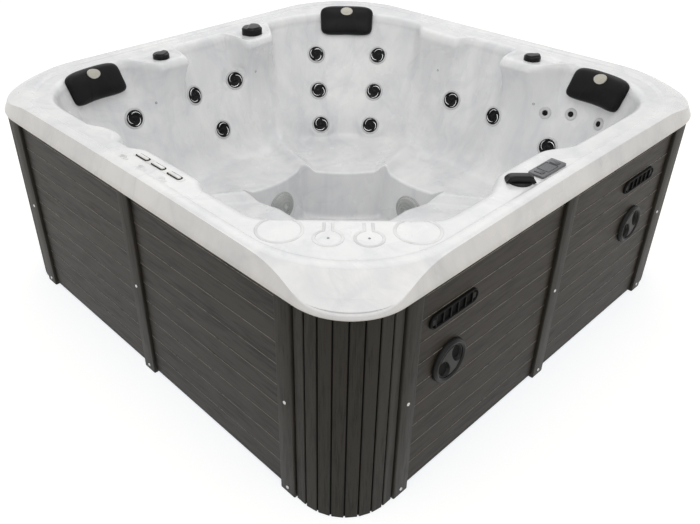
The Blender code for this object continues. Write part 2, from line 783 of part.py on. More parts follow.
def jet_mesh(name, flange, face, eye, barrel):
    # flange, dished face with one side raised like a swirl, eye and barrel behind
    mesh = bmesh.new()
    profile = (
        (0.0, JET_PROUD - JET_DISH),
        (eye, JET_PROUD - JET_DISH),
        (face, JET_PROUD),
        (flange, JET_PROUD - JET_DISH),
        (flange, FIT_GAP - JET_SUNK),
        (barrel, FIT_GAP - JET_SUNK),
        (barrel, -JET_BARREL_LENGTH),
        (0.0, -JET_BARREL_LENGTH),
    )

    def swirl(number, turn):
        lift = JET_SWIRL * max(0.0, math.sin(turn)) if number == 1 else 0.0
        return 1.0, lift

    add_turned(mesh, profile, JET_SIDES, wave=swirl)
    bmesh.ops.recalc_face_normals(mesh, faces=mesh.faces[:])
    data = bpy.data.meshes.new(name)
    mesh.to_mesh(data)
    mesh.free()
    data.shade_smooth()
    data.set_sharp_from_angle(angle=math.radians(35))
    return data


def build_jets():
    large = jet_mesh("large_jet", JET_FLANGE_RADIUS, JET_FACE_RADIUS, JET_EYE_RADIUS, JET_BARREL_RADIUS)
    small = jet_mesh("neck_jet", NECK_JET_FLANGE_RADIUS, NECK_JET_FACE_RADIUS, NECK_JET_EYE_RADIUS,
                     NECK_JET_BARREL_RADIUS)
    for data, group in ((large, LARGE_JET_SHARES), (small, NECK_JET_SHARES)):
        for name, (degrees, share) in group.items():
            place_mesh(name, data, "jet_plastic", wall_seat(wall_reach, degrees, RIM_TOP * share))


def build_suction_covers():
    for name, degrees in COVER_TURNS.items():
        mesh = bmesh.new()
        profile = (
            (0.0, COVER_DOME),
            (COVER_RADIUS * 0.45, COVER_DOME * 0.9),
            (COVER_RADIUS * 0.8, COVER_DOME * 0.6),
            (COVER_RADIUS, COVER_FLANGE),
            (COVER_RADIUS, FIT_GAP - COVER_SUNK),
            (COVER_BARREL_RADIUS, FIT_GAP - COVER_SUNK),
            (COVER_BARREL_RADIUS, -COVER_BARREL_LENGTH),
            (0.0, -COVER_BARREL_LENGTH),
        )
        add_turned(mesh, profile, COVER_SIDES)
        place = wall_seat(footwell_reach, degrees, COVER_LEVEL)
        make_object(name, mesh, "clear_grey_plastic", place)


def knob_mesh(radius, height):
    # a lobed grip on a round skirt, with a stem below
    mesh = bmesh.new()
    profile = (
        (0.0, height),
        (radius * 0.72, height),
        (radius * 0.82, height * 0.85),
        (radius * 0.88, height * 0.3),
        (radius, height * 0.2),
        (radius, FIT_GAP - KNOB_SUNK),
        (STEM_RADIUS, FIT_GAP - KNOB_SUNK),
        (STEM_RADIUS, -STEM_LENGTH),
        (0.0, -STEM_LENGTH),
    )

    def lobes(number, turn):
        share = KNOB_LOBE_SHARE * math.cos(KNOB_LOBES * turn) if number in (1, 2, 3) else 0.0
        return 1.0 + share, 0.0

    add_turned(mesh, profile, KNOB_SIDES, wave=lobes)
    return mesh


def build_knobs():
    small = (SMALL_KNOB_RADIUS, SMALL_KNOB_HEIGHT)
    make_object("air_knob_left", knob_mesh(*small), "black_plastic", rim_place(AIR_KNOB_LEFT))
    make_object("air_knob_right", knob_mesh(*small), "black_plastic", rim_place(AIR_KNOB_RIGHT))
    large = knob_mesh(LARGE_KNOB_RADIUS, LARGE_KNOB_HEIGHT)
    make_object("diverter_knob", large, "black_plastic", rim_place(DIVERTER_KNOB))

    mesh = bmesh.new()
    profile = (
        (0.0, HANDLE_HEIGHT),
        (HANDLE_RADIUS * 0.85, HANDLE_HEIGHT),
        (HANDLE_RADIUS, HANDLE_HEIGHT * 0.4),
        (HANDLE_RADIUS, FIT_GAP - KNOB_SUNK),
        (STEM_RADIUS, FIT_GAP - KNOB_SUNK),
        (STEM_RADIUS, -STEM_LENGTH),
        (0.0, -STEM_LENGTH),
    )
    add_turned(mesh, profile, KNOB_SIDES)
    handle = make_object("diverter_handle", mesh, "black_plastic", rim_place(DIVERTER_HANDLE))
    grip = bmesh.new()
    reach = HANDLE_GRIP_REACH
    half = HANDLE_GRIP_WIDTH / 2
    low = HANDLE_HEIGHT / 2
    top = HANDLE_HEIGHT + HANDLE_GRIP_HEIGHT
    slope = HANDLE_GRIP_SLOPE_SHARE
    side = ((-reach, low), (reach, low), (reach * slope, top), (-reach * slope, top))
    upright = rim_place(DIVERTER_HANDLE) @ Matrix.Rotation(math.radians(HANDLE_GRIP_TURN), 4, "Z")
    upright = upright @ Matrix.Rotation(math.pi / 2, 4, "X")
    add_prism(grip, side, -half, half, upright)
    use_tool(handle, make_tool("handle_grip", grip), "UNION")


def build_control_panel():
    mesh = bmesh.new()
    half_width = CONTROL_WIDTH / 2
    half_length = CONTROL_LENGTH / 2
    low = (-half_width, -half_length, FIT_GAP - CONTROL_SUNK)
    high = (half_width, half_length, CONTROL_HEIGHT - CONTROL_SUNK)
    add_box(mesh, low, high)
    panel = make_object("control_panel", mesh, "grey_plastic", rim_place(CONTROL_CENTRE), smooth=False)
    edge = panel.modifiers.new("edge", "BEVEL")
    edge.width = CONTROL_BEVEL
    top = CONTROL_HEIGHT - CONTROL_SUNK
    cuts = bmesh.new()
    for name, hand in (("key_near", -1), ("key_far", 1)):
        place = rim_place((CONTROL_CENTRE[0], CONTROL_CENTRE[1] + hand * KEY_OFFSET))
        half = (KEY_WIDTH / 2, KEY_LENGTH / 2)
        bottom = top + KEY_PROUD - KEY_HEIGHT
        key = bmesh.new()
        add_box(key, (-half[0], -half[1], 0.0), (half[0], half[1], KEY_HEIGHT))
        make_object(name, key, "black_plastic", place @ Matrix.Translation((0.0, 0.0, bottom)), smooth=False)
        room = (half[0] + FIT_GAP, half[1] + FIT_GAP)
        floor = bottom - KEY_TRAVEL - FIT_GAP
        add_box(cuts, (-room[0], -room[1], floor), (room[0], room[1], top + CUT_OVERRUN), place)
    use_tool(panel, make_tool("key_room", cuts), "DIFFERENCE")


def build_water_outlet():
    mesh = bmesh.new()
    half_length = OUTLET_LENGTH / 2
    half_depth = OUTLET_DEPTH / 2
    top = OUTLET_HEIGHT - OUTLET_SUNK
    add_box(mesh, (-half_length, -half_depth, FIT_GAP - OUTLET_SUNK), (half_length, half_depth, top))
    place = rim_place((OUTLET_CENTRE_X, OUTLET_CENTRE_Y))
    outlet = make_object("water_outlet", mesh, "white_plastic", place, smooth=False)
    cuts = bmesh.new()
    pitch = OUTLET_LENGTH / OUTLET_SLOTS
    for number in range(OUTLET_SLOTS):
        middle = -half_length + pitch * (number + 0.5)
        half = OUTLET_SLOT_LENGTH / 2
        low = (middle - half, 0.0, top / 2 - OUTLET_SLOT_HEIGHT / 2)
        high = (middle + half, half_depth + CUT_OVERRUN, top / 2 + OUTLET_SLOT_HEIGHT / 2)
        add_box(cuts, low, high, place)
    use_tool(outlet, make_tool("outlet_slots", cuts), "DIFFERENCE")


def build_pillows():
    # the back of each pillow is cut by a block whose top lies just above the shell
    block = shell_surface()
    border = [edge for edge in block.edges if edge.is_boundary]
    pulled = bmesh.ops.extrude_edge_only(block, edges=border)["geom"]
    lower = [item for item in pulled if isinstance(item, bmesh.types.BMVert)]
    bmesh.ops.translate(block, verts=lower, vec=(0.0, 0.0, -RIM_TOP))
    bmesh.ops.holes_fill(block, edges=[edge for edge in block.edges if edge.is_boundary], sides=0)
    bmesh.ops.recalc_face_normals(block, faces=block.faces[:])
    block.normal_update()
    lifts = [(vert, vert.normal * SLIDE_GAP) for vert in block.verts]
    for vert, lift in lifts:
        vert.co += lift
    seat = make_tool("pillow_seat", block)
    for name, (degrees, share) in PILLOW_SHARES.items():
        pillow = make_object(name, pillow_mesh(degrees, RIM_TOP * share), "pillow_foam")
        use_tool(pillow, seat, "DIFFERENCE")


def signed_power(value, power):
    return math.copysign(abs(value) ** power, value)


def turn_along(start, level, distance):
    # the direction reached after that distance along the wall; negative goes clockwise
    turn = math.radians(start)
    steps = max(1, round(abs(distance) / PILLOW_WIDTH * PILLOW_COLUMNS))
    side = 0.01
    for _ in range(steps):
        here = wall_reach(turn, level)
        there = wall_reach(turn + side, level)
        across = Vector((there * math.cos(side) - here, there * math.sin(side))).length / side
        turn += distance / steps / across
    return turn


def pillow_mesh(degrees, level):
    # a crowned pad with drawn-in sides, bent along the wall that it hangs on
    mesh = bmesh.new()
    half = Vector((PILLOW_WIDTH / 2, PILLOW_HEIGHT / 2, PILLOW_THICKNESS / 2))

    def on_wall(x, y, z):
        turn = turn_along(degrees, level, -x)
        seat = wall_seat(wall_reach, math.degrees(turn), level + y)
        return mesh.verts.new(seat @ Vector((0.0, 0.0, z + PILLOW_STAND)))

    rings = []
    for row in range(PILLOW_ROWS + 1):
        rise = math.pi / 2 - math.pi * row / PILLOW_ROWS
        if row in (0, PILLOW_ROWS):
            rings.append([on_wall(0.0, 0.0, math.copysign(half.z, rise))])
            continue
        out = signed_power(math.cos(rise), PILLOW_CROWN_SHARE)
        ring = []
        for column in range(PILLOW_COLUMNS):
            turn = 2 * math.pi * column / PILLOW_COLUMNS
            across = out * signed_power(math.cos(turn), PILLOW_OUTLINE_SHARE)
            along = out * signed_power(math.sin(turn), PILLOW_OUTLINE_SHARE)
            narrow = 1 - PILLOW_SIDE_DRAW_SHARE * (1 - along * along)
            short = 1 - PILLOW_SIDE_DRAW_SHARE * (1 - across * across)
            height = half.z * signed_power(math.sin(rise), PILLOW_CROWN_SHARE)
            ring.append(on_wall(half.x * across * narrow, half.y * along * short, height))
        rings.append(ring)
    add_rings(mesh, rings)
    return mesh


# Cabinet

PANEL_NAMES = (
    ("panel_right_near", "panel_right_far"),
    ("panel_back_right", "panel_back_left"),
    ("panel_left_far", "panel_left_near"),
    ("panel_front_left", "panel_front_right"),
)
STRIP_NAMES = ("centre_strip_right", "centre_strip_back", "centre_strip_left", "centre_strip_front")
POST_NAMES = ("corner_post_right_far", "corner_post_back_left", "corner_post_left_near",
              "corner_post_front_right")


def board_profile():
    # a side view of the panel, with a groove below each board
    points = [(PANEL_BACK, PANEL_BOTTOM), (PANEL_FACE, PANEL_BOTTOM)]
    grooves = []
    level = CABINET_TOP - FIRST_BOARD
    while level > PANEL_BOTTOM + GROOVE_WIDTH:
        grooves.append(level)
        level -= BOARD_PITCH
    for level in reversed(grooves):
        points.append((PANEL_FACE, level - GROOVE_WIDTH / 2))
        points.append((PANEL_FACE - GROOVE_DEPTH, level))
        points.append((PANEL_FACE, level + GROOVE_WIDTH / 2))
    points += [(PANEL_FACE, CABINET_TOP), (PANEL_BACK, CABINET_TOP)]
    return points


def build_panels():
    start = STRIP_WIDTH / 2 + SLIDE_GAP
    end = STRIP_END - SLIDE_GAP
    on_edge = Matrix(((1, 0, 0, 0), (0, 0, 1, 0), (0, 1, 0, 0), (0, 0, 0, 1)))
    for quarter, names in enumerate(PANEL_NAMES):
        for hand, name in zip((-1, 1), names):
            middle = hand * (start + end) / 2
            half = (end - start) / 2
            mesh = bmesh.new()
            add_prism(mesh, board_profile(), -half, half, on_edge)
            place = side_place(quarter) @ Matrix.Translation((0.0, middle, 0.0))
            panel = make_object(name, mesh, "cabinet_board", place, smooth=False)
            if quarter == 0:
                number = 0 if hand < 0 else 1
                cuts = bmesh.new()
                across = Matrix.Translation((PANEL_BACK, LOCK_PLACES[number], LOCK_LEVEL))
                across = across @ Matrix.Rotation(math.pi / 2, 4, "Y")
                hole = clear_radius(LOCK_SHAFT_RADIUS, LOCK_SIDES)
                add_cylinder(cuts, hole, -CUT_OVERRUN, PANEL_THICKNESS + CUT_OVERRUN, LOCK_SIDES, across)
                half_length = VENT_LENGTH / 2 - VENT_HEIGHT / 2
                half_height = VENT_SLOT_HEIGHT / 2
                vent = Vector((PANEL_BACK, VENT_PLACES[number], VENT_LEVEL))
                low = vent - Vector((CUT_OVERRUN, half_length, half_height))
                high = vent + Vector((PANEL_THICKNESS + CUT_OVERRUN, half_length, half_height))
                add_box(cuts, low, high)
                use_tool(panel, make_tool(name + "_cuts", cuts), "DIFFERENCE")


def slat_outline(corner_radius):
    # the outside of the rounded corner: flat slats with a groove between each two
    flat = SLAT_FACE - corner_radius - CORNER_SEAM
    arc = corner_radius * math.pi / 2
    whole = 2 * flat + arc
    centre = SLAT_FACE - corner_radius

    def spot(along, depth):
        if along < flat:
            return (SLAT_FACE - depth, CORNER_SEAM + along)
        if along > flat + arc:
            return (CORNER_SEAM + whole - along, SLAT_FACE - depth)
        turn = (along - flat) / corner_radius
        radius = corner_radius - depth
        return (centre + radius * math.cos(turn), centre + radius * math.sin(turn))

    points = [spot(0.0, 0.0)]
    for number in range(1, SLATS):
        middle = whole * number / SLATS
        points.append(spot(middle - SLAT_GROOVE / 2, 0.0))
        points.append(spot(middle, SLAT_GROOVE / 2))
        points.append(spot(middle + SLAT_GROOVE / 2, 0.0))
    points.append(spot(whole, 0.0))
    return points


def build_cabinet_edges():
    for quarter, name in enumerate(POST_NAMES):
        corner_radius = NEAR_SLAT_RADIUS if name == "corner_post_front_right" else SLAT_RADIUS
        outer = [(STRIP_FACE, STRIP_END), (STRIP_FACE, CORNER_SEAM)]
        outer += slat_outline(corner_radius)
        outer += [(CORNER_SEAM, STRIP_FACE), (STRIP_END, STRIP_FACE), (STRIP_END, PANEL_BACK)]
        radius = corner_radius - (SLAT_FACE - PANEL_BACK)
        centre = PANEL_BACK - radius
        for step in range(CORNER_STEPS + 1):
            turn = math.pi / 2 * (1 - step / CORNER_STEPS)
            outer.append((centre + radius * math.cos(turn), centre + radius * math.sin(turn)))
        outer.append((PANEL_BACK, STRIP_END))
        mesh = bmesh.new()
        add_prism(mesh, outer, 0.0, CABINET_TOP)
        make_object(name, mesh, "cabinet_strip", side_place(quarter), smooth=False)
    for quarter, name in enumerate(STRIP_NAMES):
        half = STRIP_WIDTH / 2
        bevel = STRIP_BEVEL
        outline = ((PANEL_BACK, -half), (STRIP_FACE - bevel, -half), (STRIP_FACE, bevel - half),
                   (STRIP_FACE, half - bevel), (STRIP_FACE - bevel, half), (PANEL_BACK, half))
        mesh = bmesh.new()
        add_prism(mesh, outline, 0.0, CABINET_TOP)
        make_object(name, mesh, "cabinet_strip", side_place(quarter), smooth=False)


def outward_place(place, level, face):
    # a matrix on the equipment side whose Z axis points out of the cabinet and whose Y axis is up
    axes = Matrix(((0, 0, 1, 0), (1, 0, 0, 0), (0, 1, 0, 0), (0, 0, 0, 1)))
    return Matrix.Translation((face, place, level)) @ axes


def build_vents():
    for name, where in zip(("vent_near", "vent_far"), VENT_PLACES):
        radius = VENT_HEIGHT / 2
        straight = VENT_LENGTH / 2 - radius
        outline = []
        for hand in (1, -1):
            for step in range(VENT_ARC_STEPS + 1):
                turn = -math.pi / 2 + math.pi * step / VENT_ARC_STEPS
                outline.append((hand * (straight + radius * math.cos(turn)), hand * radius * math.sin(turn)))
        place = outward_place(where, VENT_LEVEL, PANEL_FACE)
        mesh = bmesh.new()
        add_prism(mesh, outline, FIT_GAP, VENT_THICKNESS)
        vent = make_object(name, mesh, "black_plastic", place, smooth=False)
        cuts = bmesh.new()
        pitch = 2 * straight / VENT_SLOTS
        for number in range(VENT_SLOTS):
            middle = -straight + pitch * (number + 0.5)
            half = VENT_SLOT_WIDTH / 2
            low = (middle - half, -VENT_SLOT_HEIGHT / 2, -CUT_OVERRUN)
            high = (middle + half, VENT_SLOT_HEIGHT / 2, CUT_OVERRUN)
            add_box(cuts, low, high, place)
        use_tool(vent, make_tool(name + "_slots", cuts), "DIFFERENCE")


def build_locks():
    inner = LOCK_RING_RADIUS - LOCK_RING_WIDTH
    disc = inner * math.cos(math.pi / LOCK_SIDES) - TURN_GAP
    for end, where in zip(("near", "far"), LOCK_PLACES):
        place = outward_place(where, LOCK_LEVEL, PANEL_FACE)
        mesh = bmesh.new()
        profile = (
            (inner, LOCK_RING_HEIGHT * 0.7),
            ((inner + LOCK_RING_RADIUS) / 2, LOCK_RING_HEIGHT),
            (LOCK_RING_RADIUS, LOCK_RING_HEIGHT * 0.5),
            (LOCK_RING_RADIUS, FIT_GAP),
            (inner, FIT_GAP),
            (inner, LOCK_RING_HEIGHT * 0.7),
        )
        rings = []
        for radius, height in profile[:-1]:
            ring = []
            for step in range(LOCK_SIDES):
                turn = 2 * math.pi * step / LOCK_SIDES
                ring.append(mesh.verts.new((radius * math.cos(turn), radius * math.sin(turn), height)))
            rings.append(ring)
        add_rings(mesh, rings + rings[:1])
        make_object("lock_ring_" + end, mesh, "black_plastic", place)

        mesh = bmesh.new()
        behind = -PANEL_THICKNESS - FIT_GAP - LOCK_CAM_THICKNESS
        profile = (
            (0.0, LOCK_DISC_HEIGHT),
            (disc, LOCK_DISC_HEIGHT),
            (disc, FIT_GAP),
            (LOCK_SHAFT_RADIUS, FIT_GAP),
            (LOCK_SHAFT_RADIUS, behind),
            (0.0, behind),
        )
        add_turned(mesh, profile, LOCK_SIDES)
        lock = make_object("lock_disc_" + end, mesh, "black_plastic", place)
        extra = bmesh.new()
        half = LOCK_GRIP_WIDTH / 2
        reach = disc - TURN_GAP
        leaned = place @ Matrix.Rotation(math.radians(LOCK_GRIP_LEAN), 4, "Z")
        low = (-half, -reach * 0.95, LOCK_DISC_HEIGHT / 2)
        add_box(extra, low, (half, reach * 0.95, LOCK_GRIP_HEIGHT), leaned)
        low = (-LOCK_CAM_WIDTH / 2, -LOCK_CAM_WIDTH / 2, behind - LOCK_CAM_THICKNESS / 2)
        high = (LOCK_CAM_WIDTH / 2, LOCK_CAM_LENGTH, behind + LOCK_CAM_THICKNESS)
        add_box(extra, low, high, place)
        use_tool(lock, make_tool("lock_grip_" + end, extra), "UNION")


# Base, frame and pump set

def build_base():
    mesh = bmesh.new()
    radius = SLAT_RADIUS - (SLAT_FACE - PANEL_BACK)
    outline = square_outline(FRAME_HALF, radius, CORNER_STEPS)
    eased = square_outline(FRAME_HALF - LEVEL_EDGE, radius - LEVEL_EDGE, CORNER_STEPS)
    rings = []
    for line, level in ((eased, BASE_HEIGHT), (outline, BASE_HEIGHT - LEVEL_EDGE),
                        (outline, LEVEL_EDGE), (eased, 0.0)):
        rings.append([mesh.verts.new((x, y, level)) for x, y in line])
    mesh.faces.new(rings[0])
    mesh.faces.new(rings[-1])
    add_rings(mesh, rings)
    make_object("base_tray", mesh, "base_plastic", smooth=False)


def octagon(half, cut):
    points = []
    for quarter in range(4):
        for x, y in ((half, -cut), (half, cut)):
            spot = side_place(quarter) @ Vector((x, y, 0.0))
            points.append((spot.x, spot.y))
    return points


def build_frame():
    inner_half = FRAME_HALF - TUBE_SIZE
    diagonal = (FRAME_HALF + FRAME_CUT) / math.sqrt(2) - TUBE_SIZE
    inner_cut = diagonal * math.sqrt(2) - inner_half
    outer_line = octagon(FRAME_HALF, FRAME_CUT)
    inner_line = octagon(inner_half, inner_cut)
    low = BASE_HEIGHT + FIT_GAP
    mesh = bmesh.new()
    for bottom in (low, FRAME_TOP - TUBE_SIZE):
        rings = []
        for line, level in ((inner_line, bottom + TUBE_SIZE), (outer_line, bottom + TUBE_SIZE),
                            (outer_line, bottom), (inner_line, bottom)):
            rings.append([mesh.verts.new((x, y, level)) for x, y in line])
        add_rings(mesh, rings + rings[:1])
    frame = make_object("support_frame", mesh, "frame_timber", smooth=False)
    posts = bmesh.new()
    half = TUBE_SIZE / 2
    for quarter in range(4):
        for along in (-POST_PLACE, 0.0, POST_PLACE):
            corner = (inner_half, along - half, low + half)
            add_box(posts, corner, (FRAME_HALF, along + half, FRAME_TOP - half), side_place(quarter))
    use_tool(frame, make_tool("frame_posts", posts), "UNION")


def along_y(x, y, level):
    # a matrix whose Z axis runs along +Y
    return Matrix.Translation((x, y, level)) @ Matrix.Rotation(-math.pi / 2, 4, "X")


def along_x(x, y, level):
    # a matrix whose Z axis runs along +X
    return Matrix.Translation((x, y, level)) @ Matrix.Rotation(math.pi / 2, 4, "Y")


def build_pump():
    x, y = MOTOR_PLACE
    half = MOTOR_LENGTH / 2
    mesh = bmesh.new()
    profile = (
        (0.0, half),
        (MOTOR_RADIUS, half),
        (MOTOR_RADIUS, -half * 0.8),
        (MOTOR_RADIUS * 0.8, -half),
        (0.0, -half),
    )
    add_turned(mesh, profile, MACHINE_SIDES, along_y(x, y, PUMP_AXIS_LEVEL))
    motor = make_object("pump_motor", mesh, "motor_paint")
    foot = bmesh.new()
    low = (x - FOOT_WIDTH / 2, y - half * 0.6, BASE_HEIGHT + FIT_GAP)
    high = (x + FOOT_WIDTH / 2, y + half * 0.6, PUMP_AXIS_LEVEL - MOTOR_RADIUS * 0.7)
    add_box(foot, low, high)
    use_tool(motor, make_tool("motor_foot", foot), "UNION")

    start = y + half + FIT_GAP
    mesh = bmesh.new()
    profile = (
        (0.0, VOLUTE_LENGTH),
        (VOLUTE_RADIUS * 0.85, VOLUTE_LENGTH),
        (VOLUTE_RADIUS, VOLUTE_LENGTH * 0.8),
        (VOLUTE_RADIUS, VOLUTE_LENGTH * 0.2),
        (VOLUTE_RADIUS * 0.85, 0.0),
        (0.0, 0.0),
    )
    add_turned(mesh, profile, MACHINE_SIDES, along_y(x, start, PUMP_AXIS_LEVEL))
    housing = make_object("pump_housing", mesh, "base_plastic")
    ports = bmesh.new()
    middle = VOLUTE_LENGTH / 2
    add_cylinder(ports, PORT_RADIUS, middle, VOLUTE_LENGTH + PORT_LENGTH, JET_SIDES,
                 along_y(x, start, PUMP_AXIS_LEVEL))
    add_cylinder(ports, PORT_RADIUS, VOLUTE_RADIUS / 2, VOLUTE_RADIUS + PORT_LENGTH / 2, JET_SIDES,
                 along_x(x, start + middle, PUMP_AXIS_LEVEL))
    use_tool(housing, make_tool("pump_ports", ports), "UNION")
    return start


def build_pipes(volute_start):
    x, y = MOTOR_PLACE
    left = wall_seat(footwell_reach, COVER_TURNS["suction_cover_left"], COVER_LEVEL)
    right = wall_seat(footwell_reach, COVER_TURNS["suction_cover_right"], COVER_LEVEL)
    back = Vector((0.0, 0.0, -COVER_BARREL_LENGTH - FIT_GAP))
    from_right = right @ back
    from_left = left @ back
    after_right = right @ (back * 1.0 + Vector((0.0, 0.0, -PIPE_BEND * 1.2)))
    after_left = left @ (back * 1.0 + Vector((0.0, 0.0, -PIPE_BEND * 1.2)))
    port = Vector((x, volute_start + VOLUTE_LENGTH + PORT_LENGTH + FIT_GAP, PUMP_AXIS_LEVEL))
    before_port = port + Vector((0.0, PIPE_BEND * 2, 0.0))
    corner = Vector((x - PIPE_BEND, PIPE_RUN, PIPE_LEVEL))
    route = [from_right, after_right, Vector((PIPE_BEND * 3, PIPE_RUN, PIPE_LEVEL)), corner,
             before_port, port]
    mesh = bmesh.new()
    add_tube(mesh, rounded_route(route, PIPE_BEND / 2), SUCTION_RADIUS, PIPE_SIDES)
    pipe = make_object("suction_pipe", mesh, "white_plastic")
    branch = bmesh.new()
    route = [from_left, after_left, Vector((-PIPE_RUN, PIPE_RUN / 2, PIPE_LEVEL)),
             Vector((-PIPE_RUN / 2, PIPE_RUN, PIPE_LEVEL)), Vector((PIPE_BEND * 5, PIPE_RUN, PIPE_LEVEL))]
    add_tube(branch, rounded_route(route, PIPE_BEND / 2), SUCTION_RADIUS * 0.98, PIPE_SIDES)
    use_tool(pipe, make_tool("suction_branch", branch), "UNION")

    start = Vector((x + VOLUTE_RADIUS + PORT_LENGTH / 2 + FIT_GAP, volute_start + VOLUTE_LENGTH / 2,
                    PUMP_AXIS_LEVEL))
    heater_start = HEATER_PLACE[1] - HEATER_LENGTH / 2 - FIT_GAP
    end = Vector((HEATER_PLACE[0], heater_start, PUMP_AXIS_LEVEL))
    bend = Vector((HEATER_PLACE[0], start.y, PUMP_AXIS_LEVEL))
    mesh = bmesh.new()
    add_tube(mesh, rounded_route([start, bend, end], PIPE_BEND * 0.8), PRESSURE_RADIUS, PIPE_SIDES)
    make_object("pressure_pipe", mesh, "white_plastic")


def build_heater_and_box():
    x, y = HEATER_PLACE
    half = HEATER_LENGTH / 2
    mesh = bmesh.new()
    add_cylinder(mesh, HEATER_RADIUS, -half, half, MACHINE_SIDES, along_y(x, y, PUMP_AXIS_LEVEL))
    heater = make_object("heater", mesh, "steel")
    feet = bmesh.new()
    for hand in (-1, 1):
        middle = y + hand * half * 0.6
        low = (x - HEATER_RADIUS, middle - FOOT_HEIGHT / 2, BASE_HEIGHT + FIT_GAP)
        add_box(feet, low, (x + HEATER_RADIUS, middle + FOOT_HEIGHT / 2, PUMP_AXIS_LEVEL))
    use_tool(heater, make_tool("heater_feet", feet), "UNION")

    x, y = BOX_PLACE
    mesh = bmesh.new()
    low = (x - BOX_WIDTH / 2, y - BOX_LENGTH / 2, BASE_HEIGHT + FIT_GAP)
    add_box(mesh, low, (x + BOX_WIDTH / 2, y + BOX_LENGTH / 2, BASE_HEIGHT + FIT_GAP + BOX_HEIGHT))
    box = make_object("control_box", mesh, "grey_plastic", smooth=False)
    edge = box.modifiers.new("edge", "BEVEL")
    edge.width = BOX_BEVEL


def clear_scene():
    for thing in list(bpy.data.objects):
        bpy.data.objects.remove(thing, do_unlink=True)


def build_tub():
    clear_scene()
    build_shell()
    build_jets()
    build_suction_covers()
    build_knobs()
    build_control_panel()
    build_water_outlet()
    build_pillows()
    build_panels()
    build_cabinet_edges()
    build_vents()
    build_locks()
    build_base()
    build_frame()
    volute_start = build_pump()
    build_pipes(volute_start)
    build_heater_and_box()


build_tub()
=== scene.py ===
# The looks of the family hot tub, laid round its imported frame
# Metres, +Z up; +X is the side with the locks, -Y the side with the water outlet
import math

import bmesh
import bpy
import numpy as np
from mathutils import Matrix, Vector


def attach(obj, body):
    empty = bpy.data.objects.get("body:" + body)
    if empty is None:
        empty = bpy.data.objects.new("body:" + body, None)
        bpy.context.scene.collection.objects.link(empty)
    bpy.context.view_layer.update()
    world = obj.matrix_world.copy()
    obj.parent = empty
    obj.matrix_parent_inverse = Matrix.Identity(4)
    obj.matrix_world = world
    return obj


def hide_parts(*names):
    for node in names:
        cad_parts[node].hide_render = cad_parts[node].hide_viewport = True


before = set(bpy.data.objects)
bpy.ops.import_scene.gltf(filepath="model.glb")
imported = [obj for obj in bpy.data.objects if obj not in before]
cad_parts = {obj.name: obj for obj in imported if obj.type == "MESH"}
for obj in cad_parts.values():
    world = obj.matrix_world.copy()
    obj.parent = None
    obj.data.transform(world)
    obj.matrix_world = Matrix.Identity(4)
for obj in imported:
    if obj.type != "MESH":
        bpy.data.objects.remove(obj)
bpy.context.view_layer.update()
print("frame loaded:", len(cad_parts), "pieces")

tub = {
    "half": 1.05, "rimTop": 0.85, "rimInner": 0.843, "lipBottom": 0.785, "wall": 0.012,
    "lipCorner": 0.31, "lipNearCorner": 0.20, "topCorner": 0.40,
    "shoulder": 0.03, "slopeFull": 0.095, "slopeDrop": 0.053,
    "topEase": 0.0015, "topRise": 0.0006, "bandCrown": 0.0008,
    "bandWidth": 0.035, "bandCorner": 0.38, "bandStep": 0.007, "bandSlope": 0.014,
    "bullnose": 0.04, "poolHalf": 0.89, "poolCorner": 0.28, "farCorner": 0.50, "deckCorner": 0.10,
    "deckReach": 0.992, "wallLean": 0.36, "farCornerOpening": 0.9, "ledgeFade": 4.0,
    "seatLevel": 0.285, "nearSeatRise": 0.02, "ridgeHeight": 0.030, "ridgeAngle": 6.5,
    "seatDish": 0.005, "dishFade": 14.0,
    "coveHeight": 0.10, "coveDepth": 0.09, "coveRun": 0.13, "tightHeight": 0.03, "tightRun": 0.06,
    "lipRadius": 0.012, "nearLipRadius": 0.036,
    "footwellFar": 0.41, "footwellNear": 0.24, "footwellCorner": 0.12, "footwellBulge": 0.034,
    "footwellLean": 0.12, "footwellSteps": 30, "floorLevel": 0.045, "floorCove": 0.03,
    "shelfBack": 0.912, "shelfSlope": 0.016, "shelfDepth": 0.008, "shelfSoft": 1.3,
    # how many directions the skin has, and how far they crowd together at the corners
    "columns": 600, "crowding": 0.25,
    # direction, flat half angle and soft angle of the tighter cove, the near seats and their front edge
    "tightCove": (133.6, 17.0, 9.0), "nearSeats": (315.0, 80.0, 20.0), "nearLip": (315.0, 70.0, 30.0),
    # inset and rise of the lip's lower edge
    "lipRoll": ((0.010, 0.0), (0.004, 0.0), (0.001, 0.001), (0.0, 0.004)),
    # where the rows lie on each stretch, as shares of it
    "lipShares": (0.25, 0.5, 0.75, 0.94, 1.0), "slopeShares": (0.06, 0.25, 0.5, 0.75, 0.94, 1.0),
    "bandShares": (0.0, 0.25, 0.5, 0.75, 1.0), "floorShares": (0.6, 0.25),
    # direction and half angle of each knob's shelf
    "shelves": ((200.3, 4.6), (166.1, 5.2), (69.5, 4.6)),
    # direction, flat half angle, soft angle, depth as a share of the pool's half
    "ledges": ((200.0, 4.0, 4.0, 0.150), (166.0, 5.0, 4.0, 0.172), (102.5, 6.5, 4.0, 0.080),
               (70.0, 4.5, 4.0, 0.146), (357.0, 7.0, 9.0, 0.062), (251.6, 1.0, 5.0, 0.040),
               (274.5, 9.0, 4.0, 0.034)),
    # direction, half angle, depth as a share of the pool's half
    "scoops": ((216.0, 11.0, 0.025), (184.0, 9.0, 0.022), (86.0, 9.0, 0.022), (54.0, 11.0, 0.025),
               (262.0, 14.0, 0.022), (8.0, 14.0, 0.022)),
    # direction at the wall and at the footwell
    "ridges": ((161.5, 160.5), (106.0, 106.3), (225.0, 210.5), (45.0, 59.5)),
}
tub["wallTop"] = tub["rimInner"] - tub["bullnose"]

